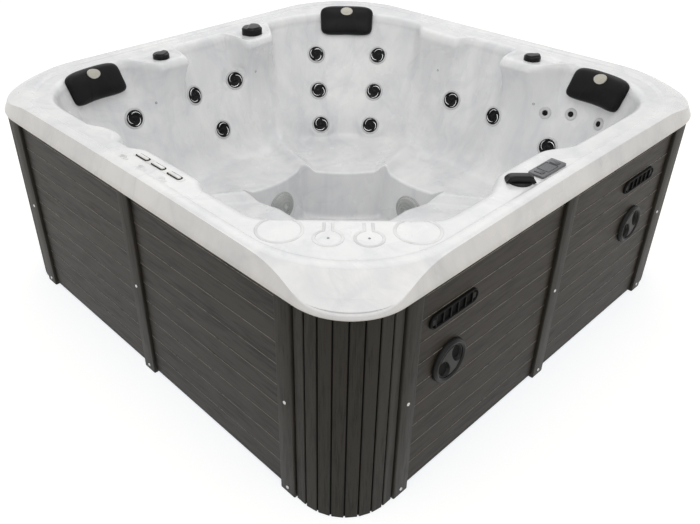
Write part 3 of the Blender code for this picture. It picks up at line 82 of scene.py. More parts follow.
jets = {
    "flange": 0.047, "face": 0.0375, "barrel": 0.031, "neckFlange": 0.027, "neckFace": 0.0135,
    "neckBarrel": 0.017, "barrelLength": 0.05, "seatDepth": 0.0042,
    # the wall is flat to this far past a flange, then blends back over the fade
    "flatEdge": 0.002, "flatFade": 0.03, "flatDepth": 0.06,
    # direction, height as a share of the rim's height, turn of the swooshes
    "large": {
        "jet_left_seat_upper": (210.6, 0.708, 20.0), "jet_left_seat_side": (191.0, 0.731, 75.0),
        "jet_side_seat_upper": (174.4, 0.746, 100.0), "jet_side_seat_lower": (184.0, 0.509, 40.0),
        "jet_corner_seat_left_upper": (143.3, 0.782, 10.0),
        "jet_corner_seat_left_middle": (143.3, 0.594, 60.0),
        "jet_corner_seat_left_lower": (143.3, 0.418, 95.0),
        "jet_corner_seat_right_upper": (124.0, 0.782, 50.0),
        "jet_corner_seat_right_middle": (124.0, 0.594, 15.0),
        "jet_corner_seat_right_lower": (124.0, 0.418, 80.0),
        "jet_back_seat_left": (93.7, 0.652, 35.0), "jet_back_seat_right": (76.0, 0.645, 70.0),
        "jet_right_seat_lower": (57.9, 0.579, 5.0),
    },
    "neck": {"jet_neck_left": (62.2, 0.738), "jet_neck_middle": (57.1, 0.764),
             "jet_neck_right": (50.7, 0.764)},
}


# Small tools for meshes

def eased(share):
    # a soft start and a soft end between 0 and 1
    return share * share * (3 - 2 * share)


def smoothStep(value, low, high):
    return eased(np.clip((value - low) / (high - low), 0.0, 1.0))


def fullTurn(count):
    return np.linspace(0.0, 2 * math.pi, count, endpoint=False)


def smoothed(mesh, angle=35.0):
    mesh.shade_smooth()
    mesh.set_sharp_from_angle(angle=math.radians(angle))
    return mesh


def meshFromGrid(name, grid, closeRows=False, poleSize=1e-9):
    # grid is rows x columns x 3, closed round its columns; a row whose points all agree becomes a pole
    rows, columns = grid.shape[:2]
    spots, numbers = [], []
    for row in range(rows):
        if np.ptp(grid[row], axis=0).max() < poleSize:
            numbers.append([len(spots)] * columns)
            spots.append(tuple(grid[row, 0]))
        else:
            numbers.append(list(range(len(spots), len(spots) + columns)))
            spots += [tuple(spot) for spot in grid[row]]
    faces = []
    for row in range(rows if closeRows else rows - 1):
        here, there = numbers[row], numbers[(row + 1) % rows]
        for column in range(columns):
            after = (column + 1) % columns
            loop = []
            for corner in (here[column], there[column], there[after], here[after]):
                if corner not in loop:
                    loop.append(corner)
            if len(loop) > 2:
                faces.append(loop)
    mesh = bpy.data.meshes.new(name)
    mesh.from_pydata(spots, [], faces)
    return mesh


def closedMesh(mesh, smoothAngle=35.0, weld=0.0):
    # turns the faces outwards and shades the mesh smooth up to an angle
    shape = bmesh.new()
    shape.from_mesh(mesh)
    if weld:
        bmesh.ops.remove_doubles(shape, verts=shape.verts[:], dist=weld)
    bmesh.ops.recalc_face_normals(shape, faces=shape.faces[:])
    shape.to_mesh(mesh)
    shape.free()
    return smoothed(mesh, smoothAngle)


def roundGrid(profile, sides):
    # one round row of points for each (radius, height) of the profile
    turns = fullTurn(sides)
    rows = [np.column_stack((radius * np.cos(turns), radius * np.sin(turns), np.full(sides, height)))
            for radius, height in profile]
    return np.array(rows)


def turnedMesh(name, profile, sides, wave=None, smoothAngle=35.0):
    # profile runs from the top to the bottom as radius and height; wave gives a row's swell
    grid = roundGrid(profile, sides)
    if wave:
        for row in range(len(profile)):
            grid[row, :, :2] *= np.broadcast_to(wave(row, fullTurn(sides)), sides)[:, None]
    for row in (0, len(profile) - 1):
        if profile[row][0] == 0:
            grid[row] = (0.0, 0.0, profile[row][1])
    return closedMesh(meshFromGrid(name, grid), smoothAngle)


def turnedRing(name, profile, sides, smoothAngle=40.0):
    return closedMesh(meshFromGrid(name, roundGrid(profile, sides), closeRows=True), smoothAngle)


def moved(profile, start):
    # the points of a profile, counted from a radius
    return [(start + out, height) for out, height in profile]


def scaled(profile, radius):
    # the points of a profile whose radii are shares
    return [(radius * share, height) for share, height in profile]


def prismMesh(name, outline, low, high, bevel=0.0, segments=2, smoothAngle=35.0, sharpAngle=30.0):
    # an outline pulled straight up, its edges eased by the bevel
    shape = bmesh.new()
    base = shape.faces.new([shape.verts.new((x, y, low)) for x, y in outline])
    pulled = bmesh.ops.extrude_face_region(shape, geom=[base])["geom"]
    bmesh.ops.translate(shape, verts=[v for v in pulled if isinstance(v, bmesh.types.BMVert)],
                        vec=(0.0, 0.0, high - low))
    bmesh.ops.recalc_face_normals(shape, faces=shape.faces[:])
    if bevel:
        sharp = [edge for edge in shape.edges if edge.calc_face_angle(0.0) > math.radians(sharpAngle)]
        bmesh.ops.bevel(shape, geom=sharp, offset=bevel, segments=segments, profile=0.5,
                        affect="EDGES", clamp_overlap=True)
    mesh = bpy.data.meshes.new(name)
    shape.to_mesh(mesh)
    shape.free()
    return closedMesh(mesh, smoothAngle)


def boxMesh(name, low, high, bevel=0.0, segments=1):
    outline = ((low[0], low[1]), (high[0], low[1]), (high[0], high[1]), (low[0], high[1]))
    return prismMesh(name, outline, low[2], high[2], bevel, segments)


def tubeMesh(name, route, radius, sides, closed=False):
    # a round bead that follows a route; radius is a number or one for each point
    route = [Vector(spot) for spot in route]
    radii = np.broadcast_to(radius, len(route))
    count = len(route)
    heading = (route[1] - route[0]).normalized()
    side = heading.orthogonal().normalized()
    grid = np.zeros((count, sides, 3))
    for index, spot in enumerate(route):
        before = route[index - 1] if closed or index else route[0]
        after = route[(index + 1) % count] if closed or index < count - 1 else route[-1]
        turned = (after - before).normalized()
        side = (heading.rotation_difference(turned) @ side).normalized()
        heading = turned
        other = heading.cross(side)
        for step in range(sides):
            turn = 2 * math.pi * step / sides
            grid[index, step] = spot + (side * math.cos(turn) + other * math.sin(turn)) * radii[index]
    if not closed:
        ends = [np.repeat(np.array(spot)[None], sides, 0)[None] for spot in (route[0], route[-1])]
        grid = np.concatenate((ends[0], grid, ends[1]))
    return closedMesh(meshFromGrid(name, grid, closeRows=closed))


def gathered(name, parts, finish):
    # one mesh out of several, each with its own place, all in one finish
    shape = bmesh.new()
    for mesh, place in parts:
        copy = mesh.copy()
        copy.transform(place)
        shape.from_mesh(copy)
        bpy.data.meshes.remove(copy)
    whole = bpy.data.meshes.new(name)
    shape.to_mesh(whole)
    shape.free()
    whole.materials.clear()
    whole.materials.append(finishes[finish])
    for face in whole.polygons:
        face.material_index = 0
    return whole


def placed(mesh, place):
    mesh.transform(place)
    return mesh


def addPiece(name, mesh, body, finish=None, standsFor=()):
    # every piece rides on a body; without a finish it keeps the one that its mesh has
    if finish:
        mesh.materials.clear()
        mesh.materials.append(finishes[finish])
    piece = bpy.data.objects.new(name, mesh)
    bpy.context.scene.collection.objects.link(piece)
    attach(piece, body)
    if standsFor:
        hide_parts(*standsFor)
    return piece


# Small tools for node trees

def put(tree, kind, settings=None, **inputs):
    # adds a node; an input takes a value or another node's output
    # a label's _ stands for a space, and i0, i1 and so on name an input by its number
    node = tree.nodes.new(kind)
    for label, value in (settings or {}).items():
        setattr(node, label, value)
    for label, value in inputs.items():
        numbered = label[0] == "i" and label[1:].isdigit()
        socket = node.inputs[int(label[1:]) if numbered else label.replace("_", " ")]
        if isinstance(value, bpy.types.NodeSocket):
            tree.links.new(value, socket)
        else:
            socket.default_value = value
    return node


def mathNode(tree, operation, *values):
    # the result of a Math node
    inputs = {"i%d" % number: value for number, value in enumerate(values)}
    return put(tree, "ShaderNodeMath", {"operation": operation}, **inputs).outputs[0]


def newTree(name, sockets):
    # a Geometry Nodes tree with named inputs; gives the tree and its input node's outputs
    tree = bpy.data.node_groups.new(name, "GeometryNodeTree")
    for label, kind in [("Geometry", "Geometry")] + list(sockets):
        tree.interface.new_socket(name=label, in_out="INPUT", socket_type="NodeSocket" + kind)
    tree.interface.new_socket(name="Geometry", in_out="OUTPUT", socket_type="NodeSocketGeometry")
    return tree, tree.nodes.new("NodeGroupInput").outputs


def endTree(tree, geometry, material, smooth=True):
    # every tree ends in real meshes with their material
    real = put(tree, "GeometryNodeRealizeInstances", Geometry=geometry).outputs["Geometry"]
    shaded = put(tree, "GeometryNodeSetShadeSmooth", Geometry=real, Shade_Smooth=smooth)
    painted = put(tree, "GeometryNodeSetMaterial", Geometry=shaded.outputs["Geometry"], Material=material)
    end = tree.nodes.new("NodeGroupOutput")
    tree.links.new(painted.outputs["Geometry"], end.inputs[0])


def endCopies(tree, given, points, piece, smooth=False, **turn):
    # a copy of the piece on every point
    copies = put(tree, "GeometryNodeInstanceOnPoints", Points=points, Instance=piece, **turn)
    endTree(tree, copies.outputs["Instances"], given["Material"], smooth)
    return tree


def grownMesh(name, mesh, tree, values):
    # runs a tree on a mesh and keeps the result as a plain mesh
    thing = bpy.data.objects.new(name + "Work", mesh)
    bpy.context.scene.collection.objects.link(thing)
    step = thing.modifiers.new(tree.name, "NODES")
    step.node_group = tree
    for item in tree.interface.items_tree:
        if item.in_out == "INPUT" and item.name in values:
            step[item.identifier] = values[item.name]
    seen = thing.evaluated_get(bpy.context.evaluated_depsgraph_get())
    grown = bpy.data.meshes.new_from_object(seen)
    grown.name = name
    thing.modifiers.remove(step)
    bpy.data.objects.remove(thing)
    return grown


# Finishes

def newMaterial(name, colour, roughness, metallic=0.0, **sockets):
    material = bpy.data.materials.new(name)
    material.use_nodes = True
    shader = material.node_tree.nodes["Principled BSDF"]
    shader.inputs["Base Color"].default_value = (*colour, 1.0)
    shader.inputs["Roughness"].default_value = roughness
    shader.inputs["Metallic"].default_value = metallic
    for label, value in sockets.items():
        shader.inputs[label.replace("_", " ")].default_value = value
    return material, material.node_tree, shader


def colourRamp(tree, factor, stops):
    ramp = put(tree, "ShaderNodeValToRGB", Fac=factor)
    elements = ramp.color_ramp.elements
    while len(elements) < len(stops):
        elements.new(0.5)
    for element, (place, colour) in zip(elements, stops):
        element.position = place
        element.color = (*colour, 1.0)
    return ramp.outputs["Color"]


def scaledPlace(tree, scale=(1.0, 1.0, 1.0), place=(0.0, 0.0, 0.0)):
    spot = put(tree, "ShaderNodeTexCoord").outputs["Object"]
    return put(tree, "ShaderNodeMapping", Vector=spot, Scale=scale, Location=place).outputs["Vector"]


def noiseNode(tree, place, scale, detail, **more):
    return put(tree, "ShaderNodeTexNoise", Vector=place, Scale=scale, Detail=detail, **more).outputs


def multiplied(tree, first, second):
    mixed = put(tree, "ShaderNodeMix", {"data_type": "RGBA", "blend_type": "MULTIPLY"}, i0=1.0,
                i6=first, i7=second)
    return mixed.outputs[2]


def addBump(tree, shader, height, strength, distance=0.001):
    bump = put(tree, "ShaderNodeBump", Height=height, Strength=strength, Distance=distance)
    tree.links.new(bump.outputs["Normal"], shader.inputs["Normal"])


def roughnessRange(tree, shader, factor, low, high):
    spread = put(tree, "ShaderNodeMapRange", Value=factor, To_Min=low, To_Max=high)
    tree.links.new(spread.outputs["Result"], shader.inputs["Roughness"])


marble = {
    "colour": (0.86, 0.865, 0.87), "roughness": 0.25, "gloss": (0.22, 0.32),
    "coat": 0.12, "coatRoughness": 0.08, "squash": (1.0, 1.0, 0.7), "streakSquash": (1.0, 1.0, 0.16),
    "driftScale": 2.2, "driftReach": (0.4, 0.4, 0.4), "veinScale": 2.1, "cloudScale": 3.2,
    "streakScale": 11.0,
    "veins": ((0.0, (0.790, 0.796, 0.806)), (0.05, (0.846, 0.849, 0.852)), (0.16, (0.872, 0.873, 0.872))),
    "clouds": ((0.34, (0.905, 0.910, 0.920)), (0.62, (1.0, 1.0, 1.0))),
    "streaks": ((0.36, (0.925, 0.930, 0.942)), (0.58, (1.0, 1.0, 1.0))),
}


def marbledAcrylic():
    # slow clouds, a few faint veins and soft upright streaks; the streaks are partly marbling and partly
    # painted reflection of the wall's ridges
    look = marble
    material, tree, shader = newMaterial("marbledAcrylic", look["colour"], look["roughness"],
                                         Coat_Weight=look["coat"], Coat_Roughness=look["coatRoughness"])
    place = scaledPlace(tree, look["squash"])
    drift = noiseNode(tree, place, look["driftScale"], 3.0, Roughness=0.55)
    shifted = put(tree, "ShaderNodeVectorMath", {"operation": "MULTIPLY_ADD"}, i0=drift["Color"],
                  i1=look["driftReach"], i2=place).outputs["Vector"]
    veins = noiseNode(tree, shifted, look["veinScale"], 6.0, Roughness=0.6, Distortion=0.8)
    line = mathNode(tree, "ABSOLUTE", mathNode(tree, "SUBTRACT", veins["Fac"], 0.5))
    cloud = noiseNode(tree, place, look["cloudScale"], 4.0, Roughness=0.55)["Fac"]
    # the upright streaks: marbling and painted reflection of the ridges together
    upright = scaledPlace(tree, look["streakSquash"])
    streak = noiseNode(tree, upright, look["streakScale"], 5.0, Roughness=0.6, Distortion=0.6)
    paint = colourRamp(tree, line, look["veins"])
    clouds = colourRamp(tree, cloud, look["clouds"])
    streaks = colourRamp(tree, streak["Fac"], look["streaks"])
    whole = multiplied(tree, multiplied(tree, paint, clouds), streaks)
    tree.links.new(whole, shader.inputs["Base Color"])
    roughnessRange(tree, shader, cloud, *look["gloss"])
    return material


grain = {
    "roughness": 0.5, "specular": 0.18, "gloss": (0.62, 0.42), "toneRange": (0.78, 1.16),
    # how far the pattern is drawn out along the grain
    "longDraw": 0.09, "fineDraw": 0.03,
    "grainScale": 95.0, "threadScale": 420.0, "threadShare": 0.45, "threadPlace": (0.3, 0.1, 0.7),
    "patchScale": 14.0, "patchShare": 0.5, "patchPlace": (1.7, 0.4, 0.2), "bump": 0.35, "bumpDepth": 0.0008,
}


def woodGrain(name, along, dark, light):
    # a moulded grain that runs along one axis: 0 is X, 1 is Y, 2 is Z
    look = grain
    material, tree, shader = newMaterial(name, light, look["roughness"],
                                         Specular_IOR_Level=look["specular"])
    long, fine = [1.0, 1.0, 1.0], [1.0, 1.0, 1.0]
    long[along], fine[along] = look["longDraw"], look["fineDraw"]
    lines = noiseNode(tree, scaledPlace(tree, long), look["grainScale"], 6.0, Roughness=0.65,
                      Distortion=0.3)
    threads = noiseNode(tree, scaledPlace(tree, fine, look["threadPlace"]), look["threadScale"], 3.0,
                        Roughness=0.5)
    patches = noiseNode(tree, scaledPlace(tree, long, look["patchPlace"]), look["patchScale"], 3.0)
    both = mathNode(tree, "MULTIPLY_ADD", threads["Fac"], look["threadShare"], lines["Fac"])
    tone = mathNode(tree, "MULTIPLY_ADD", patches["Fac"], look["patchShare"], both)
    low, high = look["toneRange"]
    tree.links.new(colourRamp(tree, tone, ((low, dark), (high, light))), shader.inputs["Base Color"])
    roughnessRange(tree, shader, both, *look["gloss"])
    addBump(tree, shader, both, look["bump"], look["bumpDepth"])
    return material


moulded = {"wearScale": 14.0, "wearRange": (0.3, 0.7), "darker": 0.82, "lighter": 1.12,
           "smoother": 0.85, "rougher": 1.2, "bumpDepth": 0.0004}


def mouldedPlastic(name, colour, roughness, grainScale=900.0, bump=0.08, **sockets):
    # a fine spark-eroded grain and a slow change of gloss
    look = moulded
    material, tree, shader = newMaterial(name, colour, roughness, **sockets)
    place = scaledPlace(tree)
    speckle = noiseNode(tree, place, grainScale, 2.0)["Fac"]
    wear = noiseNode(tree, place, look["wearScale"], 4.0)["Fac"]
    darker = tuple(part * look["darker"] for part in colour)
    lighter = tuple(min(1.0, part * look["lighter"]) for part in colour)
    low, high = look["wearRange"]
    tree.links.new(colourRamp(tree, wear, ((low, darker), (high, lighter))), shader.inputs["Base Color"])
    roughnessRange(tree, shader, wear, roughness * look["smoother"],
                   min(1.0, roughness * look["rougher"]))
    addBump(tree, shader, speckle, bump, look["bumpDepth"])
    return material


brushed = {"draw": (1.0, 1.0, 0.1), "scale": 260.0, "lineRange": (0.3, 0.7), "darker": 0.88,
           "smoother": 0.7, "rougher": 1.4}


def brushedMetal(name, colour, roughness, metallic=1.0):
    look = brushed
    material, tree, shader = newMaterial(name, colour, roughness, metallic)
    lines = noiseNode(tree, scaledPlace(tree, look["draw"]), look["scale"], 3.0)["Fac"]
    roughnessRange(tree, shader, lines, roughness * look["smoother"], roughness * look["rougher"])
    darker = tuple(part * look["darker"] for part in colour)
    low, high = look["lineRange"]
    tree.links.new(colourRamp(tree, lines, ((low, darker), (high, colour))), shader.inputs["Base Color"])
    return material


foam = {
    "colour": (0.004, 0.004, 0.005), "roughness": 0.42, "specular": 0.18, "gloss": (0.36, 0.5),
    "pebbleScale": 620.0, "shadeScale": 9.0, "bump": 0.12, "bumpDepth": 0.0004,
    "shades": ((0.3, (0.003, 0.003, 0.004)), (0.7, (0.005, 0.005, 0.006))),
}


def foamSkin():
    # the pebbled skin of moulded foam
    look = foam
    material, tree, shader = newMaterial("foamSkin", look["colour"], look["roughness"],
                                         Specular_IOR_Level=look["specular"])
    place = scaledPlace(tree)
    pebble = put(tree, "ShaderNodeTexVoronoi", Vector=place, Scale=look["pebbleScale"])
    soft = noiseNode(tree, place, look["shadeScale"], 4.0)["Fac"]
    tree.links.new(colourRamp(tree, soft, look["shades"]), shader.inputs["Base Color"])
    roughnessRange(tree, shader, soft, *look["gloss"])
    addBump(tree, shader, pebble.outputs["Distance"], look["bump"], look["bumpDepth"])
    return material


timber = {"colour": (0.42, 0.30, 0.18), "roughness": 0.7, "draw": (1.0, 1.0, 0.08), "ringScale": 28.0,
          "shades": ((0.0, (0.30, 0.20, 0.11)), (1.0, (0.50, 0.37, 0.23))), "bump": 0.2}


def timberFinish():
    look = timber
    material, tree, shader = newMaterial("frameTimber", look["colour"], look["roughness"])
    rings = put(tree, "ShaderNodeTexWave", {"wave_type": "RINGS"}, Vector=scaledPlace(tree, look["draw"]),
                Scale=look["ringScale"], Distortion=5.0, Detail=4.0)
    tree.links.new(colourRamp(tree, rings.outputs["Fac"], look["shades"]), shader.inputs["Base Color"])
    addBump(tree, shader, rings.outputs["Fac"], look["bump"])
    return material


finishes = {
    "acrylic": marbledAcrylic(),
    # the two board finishes differ in colour: boardsX, on the ±Y faces, is lighter and greyer, and boardsY,
    # on the ±X faces, is darker and browner; on boards that are all one colour, this difference is painted
    # light and shade for each pair of faces
    "boardsX": woodGrain("boardGrainX", 0, (0.0140, 0.0129, 0.0117), (0.0435, 0.0402, 0.0360)),
    "boardsY": woodGrain("boardGrainY", 1, (0.0080, 0.0062, 0.0042), (0.0262, 0.0206, 0.0143)),
    # boardEdge is far lighter than the boards: a painted highlight for the upper edge of each board, where
    # light catches it
    "edges": woodGrain("boardEdge", 2, (0.046, 0.044, 0.040), (0.270, 0.258, 0.236)),
    "strips": woodGrain("stripGrain", 2, (0.0150, 0.0139, 0.0117), (0.0320, 0.0296, 0.0247)),
    "black": mouldedPlastic("satinBlack", (0.005, 0.005, 0.006), 0.30, Specular_IOR_Level=0.2),
    "gloss": mouldedPlastic("glossBlack", (0.004, 0.004, 0.005), 0.2, bump=0.02, Specular_IOR_Level=0.15),
    "foam": foamSkin(),
    "chrome": brushedMetal("brightTrim", (0.80, 0.81, 0.82), 0.14),
    "steel": brushedMetal("screwSteel", (0.62, 0.62, 0.61), 0.30),
    "white": mouldedPlastic("whitePlastic", (0.80, 0.80, 0.79), 0.25),
    "flange": mouldedPlastic("flangePlastic", (0.60, 0.605, 0.61), 0.3),
    "grey": mouldedPlastic("greyPlastic", (0.30, 0.31, 0.33), 0.38),
    "panel": mouldedPlastic("panelGrey", (0.115, 0.118, 0.128), 0.34),
    "screen": mouldedPlastic("greyScreen", (0.045, 0.048, 0.055), 0.2, bump=0.01),
    "cover": mouldedPlastic("coverGrey", (0.60, 0.615, 0.605), 0.24, Transmission_Weight=0.2),
    "badge": brushedMetal("badgePlate", (0.50, 0.48, 0.42), 0.42, 0.3),
    "base": mouldedPlastic("baseBlack", (0.03, 0.03, 0.03), 0.6, 300.0, 0.2),
    "timber": timberFinish(),
    "motor": mouldedPlastic("motorPaint", (0.05, 0.06, 0.08), 0.45, 500.0, 0.12),
    # a darker grey than the shell's acrylic: painted shade along the embossed lines
    "lineShade": mouldedPlastic("lineShadeAcrylic", (0.73, 0.735, 0.74), 0.3),
    "service": mouldedPlastic("serviceBlack", (0.009, 0.009, 0.009), 0.42, Specular_IOR_Level=0.22),
    "vent": mouldedPlastic("ventBlack", (0.0055, 0.0055, 0.0055), 0.45, Specular_IOR_Level=0.12),
    "gap": mouldedPlastic("shadowGap", (0.0035, 0.0035, 0.0035), 0.7, Specular_IOR_Level=0.1),
}
print("finishes made:", len(finishes))


# Form of the shell, the same rules as the frame's, drawn finer

def roundedLine(corners, radii, steps=40):
    # walks a convex outline and turns each corner into an arc
    spots = []
    for index, corner in enumerate(corners):
        here = Vector(corner)
        back = (Vector(corners[index - 1]) - here).normalized()
        ahead = (Vector(corners[(index + 1) % len(corners)]) - here).normalized()
        halfAngle = math.acos(max(-1.0, min(1.0, back.dot(ahead)))) / 2
        radius = radii[index]
        centre = here + (back + ahead).normalized() * (radius / math.sin(halfAngle))
        first = here + back * (radius / math.tan(halfAngle)) - centre
        start = math.atan2(first.y, first.x)
        for step in range(steps + 1):
            turn = start + (math.pi - 2 * halfAngle) * step / steps
            spots.append((centre.x + radius * math.cos(turn), centre.y + radius * math.sin(turn)))
    return np.array(spots)


def squareLine(half, radius, nearRadius=None):
    corners = ((half, -half), (half, half), (-half, half), (-half, -half))
    return roundedLine(corners, (nearRadius or radius, radius, radius, radius))


def poolLine(grow):
    half = tub["poolHalf"] + grow
    deck = (tub["deckReach"] + grow) * math.sqrt(2) - half
    corners = ((deck, -half), (half, -deck), (half, half), (-half, half), (-half, -half))
    farRadius = tub["farCorner"] + (grow if grow > 0 else -tub["farCornerOpening"] * grow)
    deckRadius = tub["deckCorner"] + grow / 2
    cornerRadius = tub["poolCorner"] + grow
    return roundedLine(corners, (deckRadius, deckRadius, cornerRadius, farRadius, cornerRadius))


def footwellLine(grow):
    # each seat's front edge bulges into the footwell
    far, near, chamfer = tub["footwellFar"] + grow, tub["footwellNear"] + grow, tub["footwellCorner"]
    corners = ((near, -near), (near, far), (-chamfer, far), (-far, chamfer), (-far, -near))
    steps = tub["footwellSteps"]
    spots = []
    for index, corner in enumerate(corners):
        start = Vector(corner)
        side = Vector(corners[(index + 1) % len(corners)]) - start
        inward = Vector((-side.y, side.x)).normalized()
        for step in range(steps):
            share = (step + 0.5) / steps
            spot = start + side * share + inward * (tub["footwellBulge"] * 4 * share * (1 - share))
            spots.append((spot.x, spot.y))
    return np.array(spots)


def lineReach(line, turns, tiny=1e-12, slack=1e-6):
    # distance from the middle of the tub to a closed line, for many directions at once
    turns = np.atleast_1d(turns)
    start, end = line, np.roll(line, -1, axis=0)
    side = end - start
    cosine, sine = np.cos(turns)[:, None], np.sin(turns)[:, None]
    slant = cosine * side[:, 1] - sine * side[:, 0]
    slant = np.where(np.abs(slant) < tiny, tiny, slant)
    reach = (start[:, 0] * side[:, 1] - start[:, 1] * side[:, 0]) / slant
    along = (start[:, 0] * sine - start[:, 1] * cosine) / slant
    good = (along >= -slack) & (along <= 1 + slack) & (reach > 0)
    return np.where(good, reach, 0.0).max(axis=1)


lineStore = {}


def storedReach(maker, grow, turns):
    # lines are kept, because the rows and the fittings ask for the same ones
    key = (maker.__name__, round(grow, 6))
    if key not in lineStore:
        lineStore[key] = maker(grow)
    return lineReach(lineStore[key], turns)


def angleBetween(turns, centre):
    # turns in radians, centre in degrees; gives degrees
    return np.abs((np.degrees(turns) - centre + 180) % 360 - 180)


def softWindow(turns, centre, flat, soft):
    # 1 over the flat half angle, fading to 0 over the soft angle
    return eased(np.clip((flat + soft - angleBetween(turns, centre)) / soft, 0.0, 1.0))


def ledgeDepth(turns):
    depth = 0.0
    for centre, flat, soft, share in tub["ledges"]:
        depth = depth + tub["poolHalf"] * share * softWindow(turns, centre, flat, soft)
    return depth


def wallReach(turns, level):
    # the wall leans out, ledges stand out of its upper part and each backrest is scooped
    rise = min(1.0, max(0.0, (level - tub["seatLevel"]) / (tub["wallTop"] - tub["seatLevel"])))
    reach = storedReach(poolLine, -(tub["wallTop"] - level) * tub["wallLean"], turns)
    reach = reach - ledgeDepth(turns) * rise ** tub["ledgeFade"]
    for centre, soft, share in tub["scoops"]:
        scoop = softWindow(turns, centre, 0.0, soft) * math.sin(math.pi * rise)
        reach = reach + tub["poolHalf"] * share * scoop
    return reach


def footwellReach(turns, level):
    return storedReach(footwellLine, -(tub["seatLevel"] - level) * tub["footwellLean"], turns)


def seatLevel(turns, across):
    # across runs from 0 at the footwell to 1 at the wall
    level = tub["seatLevel"] + tub["nearSeatRise"] * softWindow(turns, *tub["nearSeats"])
    away = 180.0
    for atWall, atFootwell in tub["ridges"]:
        middle = atFootwell + (atWall - atFootwell) * across
        level = level + tub["ridgeHeight"] * softWindow(turns, middle, 0.0, tub["ridgeAngle"])
        away = np.minimum(away, angleBetween(turns, middle))
    dish = tub["seatDish"] * math.sin(math.pi * across) * np.clip(away / tub["dishFade"], 0.0, 1.0)
    return level - dish


def shelfDrop(turns, reach):
    # the shelf of each knob lies a little below the rim, with a short rise behind it
    out = np.maximum(np.abs(reach * np.cos(turns)), np.abs(reach * np.sin(turns)))
    share = np.clip((tub["shelfBack"] - out) / tub["shelfSlope"], 0.0, 1.0)
    drop = 0.0
    for centre, flat in tub["shelves"]:
        drop = drop + tub["shelfDepth"] * softWindow(turns, centre, flat, tub["shelfSoft"])
    return drop * eased(share)


def lipReach(turns):
    return lineReach(squareLine(tub["half"], tub["lipCorner"], tub["lipNearCorner"]), turns)


def topReach(turns):
    return lineReach(squareLine(tub["half"] - tub["shoulder"], tub["topCorner"]), turns)


def between(start, end, share):
    return start + (end - start) * share


def quarterTurns(count):
    # the angles of a quarter turn, without its start
    return [math.pi / 2 * step / count for step in range(1, count + 1)]


def shares(count):
    # even steps up to 1, without the start
    return [step / count for step in range(1, count + 1)]


rowCounts = {"rim": 14, "bullnose": 12, "wall": 40, "coveTop": 4, "cove": 14, "seat": 10,
             "seatEdge": 9, "footwell": 4, "floorCove": 8}


def rimRows(turns, level):
    # from the inner edge of the lip up its face and over the rim to the top of the wall
    lip, top = lipReach(turns), topReach(turns)
    bandHalf = tub["half"] - tub["shoulder"] - tub["bandWidth"]
    band = lineReach(squareLine(bandHalf, tub["bandCorner"]), turns)
    rows = [(lip - inset, level(tub["lipBottom"] + rise)) for inset, rise in tub["lipRoll"]]
    # the lip's face leans in; towards a corner a broad slope opens above it
    base = tub["lipBottom"] + tub["lipRoll"][-1][1]
    opening = eased(np.clip((lip - top - tub["shoulder"]) / tub["slopeFull"], 0.0, 1.0))
    crease = tub["rimTop"] - tub["slopeDrop"] * opening
    inset = tub["shoulder"] * (crease - base) / (tub["rimTop"] - base)
    rows += [(lip - inset * share, between(base, crease, share)) for share in tub["lipShares"]]
    rows += [(between(lip - inset, top, share), between(crease, tub["rimTop"], share))
             for share in tub["slopeShares"]]
    rows += [(top - tub["topEase"], level(tub["rimTop"] + tub["topRise"])),
             ((top + band) / 2, level(tub["rimTop"] + tub["bandCrown"]))]
    rows += [(band - tub["bandSlope"] * share, level(tub["rimTop"] - tub["bandStep"] * eased(share)))
             for share in tub["bandShares"]]
    ledge = ledgeDepth(turns)
    edge = storedReach(poolLine, tub["bullnose"], turns) - ledge
    start = band - tub["bandSlope"]
    for share in shares(rowCounts["rim"]):
        reach = between(start, edge, share)
        rows.append((reach, tub["rimInner"] - shelfDrop(turns, reach)))
    for turn in quarterTurns(rowCounts["bullnose"]):
        reach = storedReach(poolLine, tub["bullnose"] * (1 - math.sin(turn)), turns) - ledge
        drop = shelfDrop(turns, edge) * math.cos(turn)
        rows.append((reach, tub["rimInner"] - drop - tub["bullnose"] * (1 - math.cos(turn))))
    return rows


def seatRows(turns, level):
    # down the wall, round the cove and over the seats to the footwell's edge
    rows = []
    wallFoot = tub["seatLevel"] + tub["coveHeight"]
    for share in shares(rowCounts["wall"]):
        height = between(tub["wallTop"], wallFoot, share)
        rows.append((wallReach(turns, height), level(height)))
    foot = wallReach(turns, wallFoot)
    # the cove leaves the wall along its slope; under the lowest jets it starts further down
    tight = softWindow(turns, *tub["tightCove"])
    pan = seatLevel(turns, 1.0)
    start = wallFoot - (tub["coveHeight"] - tub["tightHeight"]) * tight
    corner = foot - (wallFoot - pan) * tub["wallLean"]
    upper = foot - (wallFoot - start) * tub["wallLean"]
    inner = corner - tub["coveRun"] - (tub["tightRun"] - tub["coveRun"]) * tight
    rows += [(between(foot, upper, share), between(wallFoot, start, share))
             for share in shares(rowCounts["coveTop"])]
    for share in shares(rowCounts["cove"]):
        first, second, third = (1 - share) ** 2, 2 * share * (1 - share), share * share
        reach = upper * first + corner * second + inner * third
        rows.append((reach, start * first + pan * (second + third)))
    radius = between(tub["lipRadius"], tub["nearLipRadius"], softWindow(turns, *tub["nearLip"]))
    edge = footwellReach(turns, tub["seatLevel"])
    rows += [(between(edge + radius, inner, 1 - share), seatLevel(turns, 1 - share))
             for share in shares(rowCounts["seat"])]
    return rows, edge, radius


def footwellRows(turns, level, edge, radius):
    # over the seats' front edge and down to the middle of the floor
    pan = seatLevel(turns, 0.0)
    rows = [(edge + radius * (1 - math.sin(turn)), pan - radius * (1 - math.cos(turn)))
            for turn in quarterTurns(rowCounts["seatEdge"])]
    bottom, cove = tub["floorLevel"] + tub["floorCove"], tub["floorCove"]
    low = footwellReach(turns, bottom)
    rows += [(between(edge, low, share), between(pan - radius, bottom, share))
             for share in shares(rowCounts["footwell"])]
    rows += [(low - cove * (1 - math.cos(turn)), level(bottom - cove * math.sin(turn)))
             for turn in quarterTurns(rowCounts["floorCove"])]
    rows += [((low - cove) * share, level(tub["floorLevel"])) for share in (*tub["floorShares"], 0.0)]
    return rows


